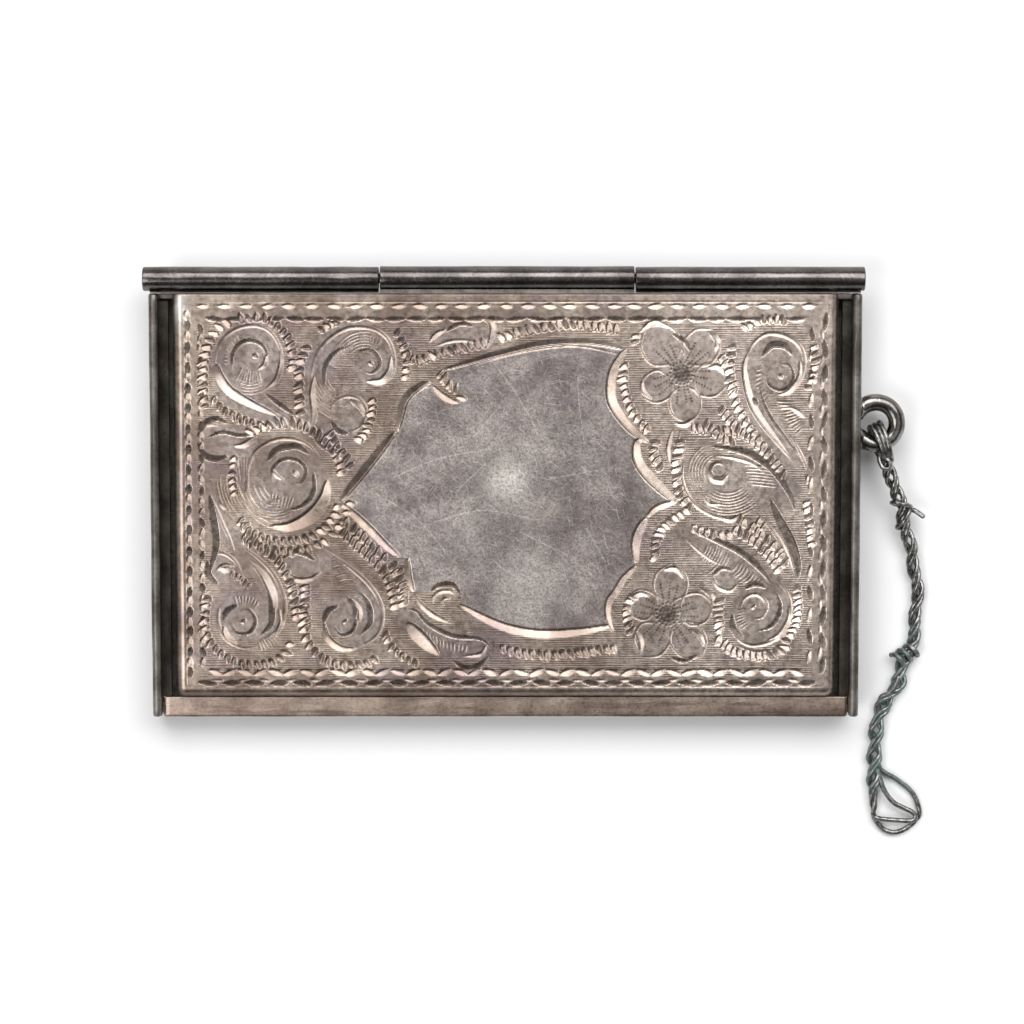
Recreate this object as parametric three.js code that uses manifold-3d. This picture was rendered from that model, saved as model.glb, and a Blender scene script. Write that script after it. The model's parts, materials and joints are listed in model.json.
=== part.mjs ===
// Hinged silver business card case with an engraved lid, a bail ring and a twisted wire tether.
// Millimetres. The case lies on its back: +Z out of the engraved face, +Y towards the hinge,
// +X towards the bail ring. The origin is the centre of the back plate's underside.

import * as THREE from "three";
import { mergeVertices } from "three/addons/utils/BufferGeometryUtils.js";
import Module from "manifold-3d";

const wasm = await Module();
wasm.setup();

// Case body.
const CASE_LENGTH = 96;
const CASE_DEPTH = 57.4;
const SHEET = 0.8;
const SEAM = 0.1;
const BACK_CORNER = 1.2;
const SIDE_WALL_TOP = 5.9;
const FRONT_WALL_TOP = 5.0;
const FRONT_WALL_SETBACK = 0.2;
const BEAD_WIDTH = 1.35;
const BEAD_HEIGHT = 1.4;

// Narrow strips inside the side walls that close the groove beside the lid.
const INNER_LEDGE_WIDTH = 1.6;
const INNER_LEDGE_BOTTOM = 4.4;
const INNER_LEDGE_TOP = 5.1;

// Lid.
const LID_HALF_LENGTH = 44.8;
const LID_FRONT = -26;
const LID_REAR = 28.6;
const LID_TOP = 7.5;
const LID_SHEET = 0.7;
const LID_SKIRT_BOTTOM = 5.4;
const LID_SKIRT_REAR = 27.3;
const LID_SHOULDER = 1.4;
const LID_CORNER = 1.6;
const LEDGE_HALF_LENGTH = 46.2;
const LEDGE_FRONT = -28.9;
const LEDGE_BOTTOM = 5.4;
const LEDGE_TOP = 6.1;

// Hinge along the rear edge.
const HINGE_Y = 30.75;
const HINGE_Z = 6.3;
const KNUCKLE_RADIUS = 1.65;
const BORE_RADIUS = 0.75;
const PIN_RADIUS = 0.65;
const KNUCKLE_GAP = 0.3;
const HINGE_LEFT_END = -48.7;
const HINGE_RIGHT_END = 48.3;
const JOINT_LEFT = -17;
const JOINT_RIGHT = 17.5;
const PIN_RECESS = 0.25;
const BEARER_GAP = 0.15;
const BEARER_END = 47.9;

// Bail ring on the right wall.
const RING_CENTRE = new THREE.Vector3(50.3, 11.1, 4.2);
const RING_RADIUS = 2.85;
const RING_WIRE = 1.15;
const RING_SOLDER = 1.5;

// Twisted wire tether.
const TWIST_RADIUS = 1;
const WRAP_RADIUS = 1.35;
const STRAND_RADIUS = 0.38;
const EYE_RADIUS = 2.2;
const EYE_HALF_WIDTH = 0.75;
const EYE_ANGLE = THREE.MathUtils.degToRad(-74);

// Routes of the tether's lengths, from the eye to the end loop.
const TWIST_UPPER = [
  [51.88, 5.5, 4.2],
  [52.25, 4.4, 3.95],
  [52.9, 2.6, 3.55],
  [53.65, 0.9, 3.1],
];
const WRAP_UPPER = [
  [53.85, 0.45, 3.0],
  [54.25, -0.6, 2.75],
  [54.35, -1.8, 2.45],
];
const STRAY_END = [
  [55.95, -0.95, 2.8],
  [56.5, -1.3, 2.9],
  [57.1, -1.75, 3.05],
];
const TWIST_MIDDLE = [
  [54.4, -2.3, 2.35],
  [54.7, -3.6, 2.1],
  [55.55, -5.8, 1.7],
  [56.05, -9.1, 1.25],
  [56.75, -12, 1.1],
  [56.3, -15.8, 1.05],
  [56.35, -18.3, 1.05],
  [55.95, -19.7, 1.05],
];
const WRAP_LOWER = [
  [55.75, -20.1, 1.4],
  [55.1, -21.3, 1.4],
  [54.65, -22.5, 1.4],
];
const TWIST_LOWER = [
  [54.5, -22.95, 1.05],
  [54.1, -25.2, 1.05],
  [52.7, -27.1, 1.05],
  [51.5, -29.6, 1.05],
  [51.1, -33.2, 1.05],
  [50.95, -36, 1.05],
  [50.85, -39.3, 1.05],
  [50.95, -42.3, 1.05],
];
const END_LOOP = [
  [51.1, -42.75, 0.75],
  [51.85, -44.4, 0.5],
  [53.95, -46, 0.45],
  [56, -45, 0.45],
  [57.45, -43.4, 0.45],
  [56.95, -41.8, 0.45],
  [55.1, -39.6, 0.5],
  [53.2, -38.1, 0.65],
  [52.5, -37.65, 0.75],
];
const END_LOOP_INNER = [
  [52.5, -39.3, 1.3],
  [53, -40.4, 1.3],
  [54.4, -41.65, 1.35],
  [55.9, -42.25, 1.35],
  [56.45, -43.1, 1.35],
  [55.7, -43.95, 1.35],
  [53.9, -43.85, 1.3],
  [52.5, -43.6, 1.3],
];

const SILVER = { color: 0x8f8a82, roughness: 0.38, metalness: 1 };
const ENGRAVED = { color: 0xa39a90, roughness: 0.42, metalness: 1 };
const DARK_SILVER = { color: 0x6c6a66, roughness: 0.35, metalness: 1 };
const WIRE = { color: 0x4f5650, roughness: 0.5, metalness: 0.9 };

const halfLength = CASE_LENGTH / 2;
const halfDepth = CASE_DEPTH / 2;
const wallBottom = SHEET + SEAM;
const wallInside = halfLength - SHEET;

const card_case = new THREE.Group();

// Profiles drawn in X and Z, run along -Y.
const alongDepth = new THREE.Group();
alongDepth.rotation.x = Math.PI / 2;
card_case.add(alongDepth);

// Profiles drawn in Y and Z, run along +X.
const alongLength = new THREE.Group();
alongLength.rotation.set(Math.PI / 2, Math.PI / 2, 0);
card_case.add(alongLength);

// The hinge's own line, with lathe axes turned onto it.
const hingeLine = new THREE.Group();
hingeLine.position.set(0, HINGE_Y, HINGE_Z);
hingeLine.rotation.z = -Math.PI / 2;
card_case.add(hingeLine);

function addMesh(parent, name, geometry, look) {
  const mesh = new THREE.Mesh(geometry, new THREE.MeshStandardMaterial(look));
  mesh.name = name;
  parent.add(mesh);
  return mesh;
}

function addBox(name, low, high, look) {
  const size = high.map((value, i) => value - low[i]);
  const mesh = addMesh(card_case, name, new THREE.BoxGeometry(...size), look);
  mesh.position.set(...low.map((value, i) => value + size[i] / 2));
}

function extrude(shape, depth, curveSegments = 6) {
  return new THREE.ExtrudeGeometry(shape, { depth, bevelEnabled: false, curveSegments });
}

function toSolid(geometry) {
  const bare = geometry.clone();
  bare.deleteAttribute("normal");
  bare.deleteAttribute("uv");
  const merged = mergeVertices(bare, 1e-4);
  return new wasm.Manifold(
    new wasm.Mesh({
      numProp: 3,
      vertProperties: new Float32Array(merged.attributes.position.array),
      triVerts: new Uint32Array(merged.index.array),
    }),
  );
}

function toGeometry(solid) {
  const mesh = solid.getMesh();
  const geometry = new THREE.BufferGeometry();
  geometry.setAttribute("position", new THREE.BufferAttribute(mesh.vertProperties, mesh.numProp));
  geometry.setIndex(new THREE.BufferAttribute(mesh.triVerts, 1));
  geometry.computeVertexNormals();
  return geometry;
}

function boxSolid(low, high) {
  const size = high.map((value, i) => value - low[i]);
  const geometry = new THREE.BoxGeometry(...size);
  geometry.translate(...low.map((value, i) => value + size[i] / 2));
  return toSolid(geometry);
}

// A rectangle in X and Y with round corners.
function roundedRectangle(left, right, low, high, radius) {
  const shape = new THREE.Shape();
  shape.moveTo(left + radius, low);
  shape.lineTo(right - radius, low);
  shape.absarc(right - radius, low + radius, radius, -Math.PI / 2, 0);
  shape.lineTo(right, high - radius);
  shape.absarc(right - radius, high - radius, radius, 0, Math.PI / 2);
  shape.lineTo(left + radius, high);
  shape.absarc(left + radius, high - radius, radius, Math.PI / 2, Math.PI);
  shape.lineTo(left, low + radius);
  shape.absarc(left + radius, low + radius, radius, Math.PI, 1.5 * Math.PI);
  return shape;
}

function buildBackPlate() {
  const outline = roundedRectangle(-halfLength, halfLength, -halfDepth, halfDepth, BACK_CORNER);
  addMesh(card_case, "back_plate", extrude(outline, SHEET), SILVER);
}

function buildWalls() {
  for (const [name, side] of [["wall_left", -1], ["wall_right", 1]]) {
    const outer = side * halfLength;
    const inner = side * wallInside;
    addBox(
      name,
      [Math.min(outer, inner), -halfDepth, wallBottom],
      [Math.max(outer, inner), halfDepth, SIDE_WALL_TOP],
      DARK_SILVER,
    );
  }
  const end = wallInside - SEAM;
  const frontFace = -halfDepth + FRONT_WALL_SETBACK;
  addBox("wall_front", [-end, frontFace, wallBottom], [end, frontFace + SHEET, FRONT_WALL_TOP], SILVER);
  addBox("wall_rear", [-end, halfDepth - SHEET, wallBottom], [end, halfDepth, SIDE_WALL_TOP], SILVER);
}

// Half-round wire along the top of each side wall.
function buildRimBeads() {
  const radius = BEAD_WIDTH / 2;
  const springLine = BEAD_HEIGHT - radius;
  for (const [name, left] of [["rim_bead_left", -halfLength], ["rim_bead_right", halfLength - BEAD_WIDTH]]) {
    const profile = new THREE.Shape();
    profile.moveTo(left, 0);
    profile.lineTo(left + BEAD_WIDTH, 0);
    profile.lineTo(left + BEAD_WIDTH, springLine);
    profile.absarc(left + radius, springLine, radius, 0, Math.PI);
    const bead = addMesh(alongDepth, name, extrude(profile, CASE_DEPTH, 8), DARK_SILVER);
    bead.position.set(0, SIDE_WALL_TOP + SEAM, -halfDepth);
  }
}

function buildInnerLedges() {
  const outer = wallInside - SEAM;
  const inner = outer - INNER_LEDGE_WIDTH;
  const low = -halfDepth + FRONT_WALL_SETBACK + SHEET + SEAM;
  const high = halfDepth - SHEET - SEAM;
  addBox("inner_ledge_left", [-outer, low, INNER_LEDGE_BOTTOM], [-inner, high, INNER_LEDGE_TOP], DARK_SILVER);
  addBox("inner_ledge_right", [inner, low, INNER_LEDGE_BOTTOM], [outer, high, INNER_LEDGE_TOP], DARK_SILVER);
}

// A block with a rounded upper edge all round, run past the hinge side, from which the lid is cut.
function shoulderedBlock(inset, top, bottom) {
  const shoulder = LID_SHOULDER - inset;
  const side = LID_HALF_LENGTH - inset - shoulder;
  const front = LID_FRONT + inset + shoulder;
  const pastRear = LID_REAR + LID_SHOULDER + 2;
  const outline = roundedRectangle(-side, side, front, pastRear, LID_CORNER - inset);
  const block = new THREE.ExtrudeGeometry(outline, {
    depth: top - bottom,
    bevelEnabled: true,
    bevelThickness: shoulder,
    bevelSize: shoulder,
    bevelSegments: 4,
    curveSegments: 5,
  });
  block.translate(0, 0, bottom - shoulder);
  return toSolid(block);
}

// The engraved panel: a shallow pan with rolled shoulders left, right and front.
function buildLidPanel() {
  const outer = shoulderedBlock(0, LID_TOP, LID_SKIRT_BOTTOM - 2 * LID_SHOULDER);
  const inner = shoulderedBlock(LID_SHEET, LID_TOP - LID_SHEET, LID_SKIRT_BOTTOM - 2 * LID_SHOULDER);
  const kept = boxSolid([-halfLength, -halfDepth, LID_SKIRT_BOTTOM], [halfLength, LID_REAR, LID_TOP + 1]);
  const rearNotch = boxSolid([-halfLength, LID_SKIRT_REAR, 0], [halfLength, halfDepth, HINGE_Z]);
  const panel = outer.subtract(inner).intersect(kept).subtract(rearNotch);
  addMesh(card_case, "lid_panel", toGeometry(panel), ENGRAVED);
}

// Flat strip along the foot of the lid's front shoulder, over the front wall.
function buildThumbLedge() {
  const back = LID_FRONT - SEAM;
  const round = (LEDGE_TOP - LEDGE_BOTTOM) / 2;
  const profile = new THREE.Shape();
  profile.moveTo(back, LEDGE_BOTTOM);
  profile.lineTo(back, LEDGE_TOP);
  profile.lineTo(LEDGE_FRONT + round, LEDGE_TOP);
  profile.absarc(LEDGE_FRONT + round, LEDGE_BOTTOM + round, round, Math.PI / 2, 1.5 * Math.PI);
  const ledge = addMesh(alongLength, "thumb_ledge", extrude(profile, 2 * LEDGE_HALF_LENGTH), ENGRAVED);
  ledge.position.z = -LEDGE_HALF_LENGTH;
}

// A lathe ring about the hinge's line, from x = start to x = end.
function buildKnuckle(name, start, end) {
  const profile = [
    [BORE_RADIUS, start],
    [KNUCKLE_RADIUS, start],
    [KNUCKLE_RADIUS, end],
    [BORE_RADIUS, end],
    [BORE_RADIUS, start],
  ].map(([radius, x]) => new THREE.Vector2(radius, x));
  addMesh(hingeLine, name, new THREE.LatheGeometry(profile, 28), DARK_SILVER);
}

function buildHingePin() {
  const chamfer = 0.15;
  const start = HINGE_LEFT_END + PIN_RECESS;
  const end = HINGE_RIGHT_END - PIN_RECESS;
  const profile = [
    [0, start],
    [PIN_RADIUS - chamfer, start],
    [PIN_RADIUS, start + chamfer],
    [PIN_RADIUS, end - chamfer],
    [PIN_RADIUS - chamfer, end],
    [0, end],
  ].map(([radius, x]) => new THREE.Vector2(radius, x));
  addMesh(hingeLine, "hinge_pin", new THREE.LatheGeometry(profile, 28), DARK_SILVER);
}

function addArcAboutHinge(shape, fromDegrees, toDegrees, steps) {
  const radius = KNUCKLE_RADIUS + BEARER_GAP;
  for (let i = 0; i <= steps; i += 1) {
    const angle = THREE.MathUtils.degToRad(fromDegrees + ((toDegrees - fromDegrees) * i) / steps);
    shape.lineTo(HINGE_Y + radius * Math.cos(angle), HINGE_Z + radius * Math.sin(angle));
  }
}

// Coved strip that carries an outer knuckle on the rear wall.
function buildTrayBearer(name, start, end) {
  const wall = halfDepth + SEAM;
  const foot = 2.9;
  const profile = new THREE.Shape();
  profile.moveTo(wall, foot);
  profile.lineTo(wall + 0.3, foot);
  profile.lineTo(HINGE_Y + 0.15, HINGE_Z - KNUCKLE_RADIUS - 0.35);
  addArcAboutHinge(profile, -85, -165, 6);
  profile.lineTo(wall, HINGE_Z - 0.46);
  const bearer = addMesh(alongLength, name, extrude(profile, end - start), SILVER);
  bearer.position.z = start;
}

// Bent strip under the lid's rear edge that carries the middle knuckle.
function buildLidBearer(start, end) {
  const under = LID_TOP - LID_SHEET - SEAM;
  const front = LID_REAR - 2;
  const rear = LID_REAR + SEAM;
  const profile = new THREE.Shape();
  profile.moveTo(front, HINGE_Z);
  addArcAboutHinge(profile, 180, 146, 4);
  profile.lineTo(rear, LID_TOP - 0.15);
  profile.lineTo(rear, under);
  profile.lineTo(front, under);
  const bearer = addMesh(alongLength, "hinge_bearer_lid", extrude(profile, end - start), SILVER);
  bearer.position.z = start;
}

function buildHinge() {
  const half = KNUCKLE_GAP / 2;
  buildKnuckle("knuckle_left", HINGE_LEFT_END, JOINT_LEFT - half);
  buildKnuckle("knuckle_middle", JOINT_LEFT + half, JOINT_RIGHT - half);
  buildKnuckle("knuckle_right", JOINT_RIGHT + half, HINGE_RIGHT_END);
  buildHingePin();
  buildTrayBearer("hinge_bearer_left", -BEARER_END, JOINT_LEFT - half);
  buildTrayBearer("hinge_bearer_right", JOINT_RIGHT + half, BEARER_END);
  buildLidBearer(JOINT_LEFT + half, JOINT_RIGHT - half);
}

// A round wire bent into a ring, its two ends sunk in solder against the right wall.
function buildBailRing() {
  let ring = toSolid(new THREE.TorusGeometry(RING_RADIUS, RING_WIRE, 14, 40));
  const wallFace = halfLength + SEAM;
  const reach = Math.acos((halfLength - RING_CENTRE.x) / RING_RADIUS);
  for (const angle of [reach, -reach]) {
    const solder = new THREE.SphereGeometry(RING_SOLDER, 16, 12);
    solder.scale(0.9, 1.15, 0.85);
    solder.translate(RING_RADIUS * Math.cos(angle), RING_RADIUS * Math.sin(angle), 0);
    ring = ring.add(toSolid(solder));
  }
  const hidden = boxSolid([-20, -20, -20], [wallFace - RING_CENTRE.x, 20, 20]);
  const mesh = addMesh(card_case, "bail_ring", toGeometry(ring.subtract(hidden)), DARK_SILVER);
  mesh.position.copy(RING_CENTRE);
}

// The tether's eye: two strands side by side, looped round the ring's wire.
function buildEye() {
  const profile = [];
  const sides = 12;
  for (let i = 0; i <= sides; i += 1) {
    const angle = (2 * Math.PI * (i % sides)) / sides;
    const radius = EYE_RADIUS + STRAND_RADIUS * Math.cos(angle);
    profile.push(new THREE.Vector2(radius, EYE_HALF_WIDTH * Math.sin(angle)));
  }
  const eye = addMesh(card_case, "tether_eye", new THREE.LatheGeometry(profile, 20), WIRE);
  eye.position.set(
    RING_CENTRE.x + RING_RADIUS * Math.cos(EYE_ANGLE),
    RING_CENTRE.y + RING_RADIUS * Math.sin(EYE_ANGLE),
    RING_CENTRE.z,
  );
  eye.rotation.z = EYE_ANGLE;
}

// A wire or a twist of wires along a smooth curve through the route's points.
function buildWire(name, route, radius, stepLength, sides) {
  const curve = new THREE.CatmullRomCurve3(route.map((point) => new THREE.Vector3(...point)));
  const section = new THREE.Shape();
  for (let i = 0; i < sides; i += 1) {
    const angle = (2 * Math.PI * i) / sides;
    const place = [radius * Math.cos(angle), radius * Math.sin(angle)];
    if (i === 0) {
      section.moveTo(...place);
    } else {
      section.lineTo(...place);
    }
  }
  const geometry = new THREE.ExtrudeGeometry(section, {
    steps: Math.max(2, Math.round(curve.getLength() / stepLength)),
    bevelEnabled: false,
    extrudePath: curve,
  });
  addMesh(card_case, name, geometry, WIRE);
}

function buildTether() {
  buildEye();
  buildWire("twist_upper", TWIST_UPPER, TWIST_RADIUS, 2.5, 8);
  buildWire("wrap_upper", WRAP_UPPER, WRAP_RADIUS, 1.2, 10);
  buildWire("stray_wire_end", STRAY_END, STRAND_RADIUS, 0.9, 8);
  buildWire("twist_middle", TWIST_MIDDLE, TWIST_RADIUS, 2.5, 8);
  buildWire("wrap_lower", WRAP_LOWER, WRAP_RADIUS, 1.2, 10);
  buildWire("twist_lower", TWIST_LOWER, TWIST_RADIUS, 2.5, 8);
  buildWire("end_loop", END_LOOP, STRAND_RADIUS, 1.2, 8);
  buildWire("end_loop_inner", END_LOOP_INNER, STRAND_RADIUS, 1, 8);
}

buildBackPlate();
buildWalls();
buildRimBeads();
buildInnerLedges();
buildLidPanel();
buildThumbLedge();
buildHinge();
buildBailRing();
buildTether();

export default card_case;
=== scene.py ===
"""Looks of the engraved business card case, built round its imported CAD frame.

Row frame, metres: +X along the hinge to the bail ring, +Y to the hinge, +Z out of the engraved face.
Shapes are drawn in millimetres and scaled once, when their mesh is made.
"""

import json
import math

import bmesh
import bpy
import numpy as np
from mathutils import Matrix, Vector


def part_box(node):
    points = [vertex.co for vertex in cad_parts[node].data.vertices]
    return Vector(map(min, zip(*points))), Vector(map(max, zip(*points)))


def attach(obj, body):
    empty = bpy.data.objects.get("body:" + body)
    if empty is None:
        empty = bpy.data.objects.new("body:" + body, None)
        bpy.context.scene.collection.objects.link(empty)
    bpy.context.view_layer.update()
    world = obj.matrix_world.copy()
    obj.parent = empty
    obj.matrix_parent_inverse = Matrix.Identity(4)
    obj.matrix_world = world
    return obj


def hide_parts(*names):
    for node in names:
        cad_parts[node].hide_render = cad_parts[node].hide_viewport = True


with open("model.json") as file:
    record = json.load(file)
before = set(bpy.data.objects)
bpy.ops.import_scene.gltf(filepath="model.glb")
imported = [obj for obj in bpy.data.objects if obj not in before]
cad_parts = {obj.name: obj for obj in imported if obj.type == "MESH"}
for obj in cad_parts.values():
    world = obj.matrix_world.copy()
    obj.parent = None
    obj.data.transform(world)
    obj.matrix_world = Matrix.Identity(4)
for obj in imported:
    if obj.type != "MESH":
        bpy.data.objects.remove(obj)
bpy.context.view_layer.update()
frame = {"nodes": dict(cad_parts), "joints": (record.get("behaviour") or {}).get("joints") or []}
NODES = frame["nodes"]
JOINTS = {joint["name"]: joint for joint in frame["joints"]}
MM = 0.001
rng = np.random.default_rng(7)

HINGE_Y, HINGE_Z = (v / MM for v in JOINTS["lid_hinge"]["pos_m"][1:])
RING_CENTRE = np.array(JOINTS["tether_swing"]["pos_m"]) / MM
EYE_CENTRE = np.array(JOINTS["tether_lift"]["pos_m"]) / MM


def box_mm(node):
    low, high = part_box(node)
    return np.array(low) / MM, np.array(high) / MM


def new_object(name, data):
    made = bpy.data.objects.new(name, data)
    bpy.context.scene.collection.objects.link(made)
    return made


def fill(node, **numbers):
    """Sets a node's inputs; an underscore in a name stands for a space."""
    for key, number in numbers.items():
        node.inputs[key.replace("_", " ")].default_value = number


# ---------------------------------------------------------------- camera

TARGET = Vector((0.9, -0.7, 7.5)) * MM
CAMERA_DISTANCE = 392 * MM
CAMERA_TILT = math.radians(5)
FIELD_OF_VIEW = math.radians(20)


def make_camera():
    data = bpy.data.cameras.new("camera")
    camera = new_object("camera", data)
    away = Vector((0, math.sin(CAMERA_TILT), math.cos(CAMERA_TILT)))
    camera.location = TARGET + CAMERA_DISTANCE * away
    camera.rotation_euler = (-CAMERA_TILT, 0, 0)
    data.sensor_width = 36
    data.lens = data.sensor_width / 2 / math.tan(FIELD_OF_VIEW / 2)
    data.clip_start, data.clip_end = 0.01, 20
    bpy.context.scene.camera = camera


make_camera()

# ---------------------------------------------------------------- curves and meshes


def smooth(points, step):
    """An even row of points along a smooth curve through the given ones."""
    p = np.asarray(points, float)
    ends = np.vstack([2 * p[0] - p[1], p, 2 * p[-1] - p[-2]])
    t = np.linspace(0, 1, 16, endpoint=False)[:, None]
    fine = []
    for i in range(len(p) - 1):
        a, b, c, d = ends[i : i + 4]
        fine.append(
            0.5 * (2 * b + (c - a) * t + (2 * a - 5 * b + 4 * c - d) * t**2 + (3 * b - a - 3 * c + d) * t**3)
        )
    fine = np.vstack([*fine, p[-1:]])
    run = np.concatenate([[0], np.cumsum(np.linalg.norm(np.diff(fine, axis=0), axis=1))])
    want = np.linspace(0, run[-1], max(2, int(run[-1] / step) + 1))
    return np.column_stack([np.interp(want, run, fine[:, k]) for k in range(p.shape[1])])


def length_of(points):
    return float(np.linalg.norm(np.diff(points, axis=0), axis=1).sum())


def skin(rings, around, closed=False):
    """Quads between rings of points; closed joins the last ring to the first, and open ends get a cap."""
    faces = []
    for i in range(rings if closed else rings - 1):
        a, b = i * around, (i + 1) % rings * around
        faces += [(a + k, a + (k + 1) % around, b + (k + 1) % around, b + k) for k in range(around)]
    if not closed:
        last = (rings - 1) * around
        faces += [tuple(reversed(range(around))), tuple(range(last, last + around))]
    return faces


def grid_faces(rows, columns):
    """Quads over a grid of points, and the loop of points round its edge."""
    index = np.arange(rows * columns).reshape(rows, columns)
    corners = [index[:-1, :-1], index[:-1, 1:], index[1:, 1:], index[1:, :-1]]
    loop = np.concatenate([index[0, :-1], index[:-1, -1], index[-1, :0:-1], index[:0:-1, 0]])
    return np.stack(corners, axis=-1).reshape(-1, 4), loop


def flat_spots(gx, gy):
    return np.column_stack([gx.ravel(), gy.ravel(), np.zeros(gx.size)])


def corner_turn(a, b):
    """The direction, from X towards Y, of points that lie a and b past a corner."""
    near_x = math.pi / 4 * b / np.maximum(a, 1e-9)
    near_y = math.pi / 2 - math.pi / 4 * a / np.maximum(b, 1e-9)
    return np.where(a >= b, near_x, near_y)


def make_object(name, vertices, faces):
    mesh = bpy.data.meshes.new(name)
    mesh.from_pydata((np.asarray(vertices) * MM).tolist(), [], [list(f) for f in faces])
    shell = bmesh.new()
    shell.from_mesh(mesh)
    bmesh.ops.recalc_face_normals(shell, faces=shell.faces)
    shell.to_mesh(mesh)
    shell.free()
    mesh.update()
    mesh.polygons.foreach_set("use_smooth", [True] * len(mesh.polygons))
    return new_object(name, mesh)


def place(piece, body, slot, material, *replaced):
    piece.data.materials.clear()
    piece.data.materials.append(material)
    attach(piece, body)
    if replaced:
        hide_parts(*replaced)
    return piece


def frames_along(path):
    """Tangents and two side vectors that don't spin, for each point of a path."""
    tangent = np.gradient(path, axis=0)
    tangent /= np.linalg.norm(tangent, axis=1)[:, None]
    side = np.cross(tangent[0], [0, 0, 1.0])
    if np.linalg.norm(side) < 1e-3:
        side = np.cross(tangent[0], [0, 1.0, 0])
    sides = []
    for t in tangent:
        side = side - t * (side @ t)
        side = side / np.linalg.norm(side)
        sides.append(side)
    sides = np.array(sides)
    return tangent, sides, np.cross(tangent, sides)


DOME = np.array([0.35, 0.7, 0.93])
DOME_LIFT = 0.6 * np.sqrt(1 - DOME**2)


def tube(path, radius, around=12):
    """Vertices and faces of a round wire with domed ends along path; radius may vary."""
    path = np.asarray(path, float)
    radius = np.broadcast_to(np.asarray(radius, float), (len(path),)).copy()
    tangent, side, up = frames_along(path)
    rings = list(zip(path, side, up, radius))
    for d, h in zip(DOME[::-1], DOME_LIFT[::-1]):
        rings.insert(0, (path[0] - tangent[0] * radius[0] * h, side[0], up[0], radius[0] * d))
        rings.append((path[-1] + tangent[-1] * radius[-1] * h, side[-1], up[-1], radius[-1] * d))
    angle = np.linspace(0, 2 * math.pi, around, endpoint=False)
    cos, sin = np.cos(angle)[:, None], np.sin(angle)[:, None]
    vertices = np.vstack([centre + r * (cos * out + sin * rise) for centre, out, rise, r in rings])
    return vertices, skin(len(rings), around)


def join(parts):
    vertices, faces, count = [], [], 0
    for v, f in parts:
        vertices.append(v)
        faces += [tuple(i + count for i in face) for face in f]
        count += len(v)
    return np.vstack(vertices), faces


NOISE_CELLS = 32


def value_noise(points, size, seed):
    """Smooth noise from -1 to 1 at points, with features about size across."""
    table = np.random.default_rng(seed).uniform(-1, 1, (NOISE_CELLS,) * 3)
    p = np.asarray(points, float) / size + 100
    cell = np.floor(p).astype(int)
    f = p - cell
    f = f * f * (3 - 2 * f)
    total = np.zeros(len(p))
    for corner in np.ndindex(2, 2, 2):
        weight = np.where(corner, f, 1 - f).prod(1)
        total += weight * table[tuple(((cell + corner) % NOISE_CELLS).T)]
    return total


# ---------------------------------------------------------------- materials


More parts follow.
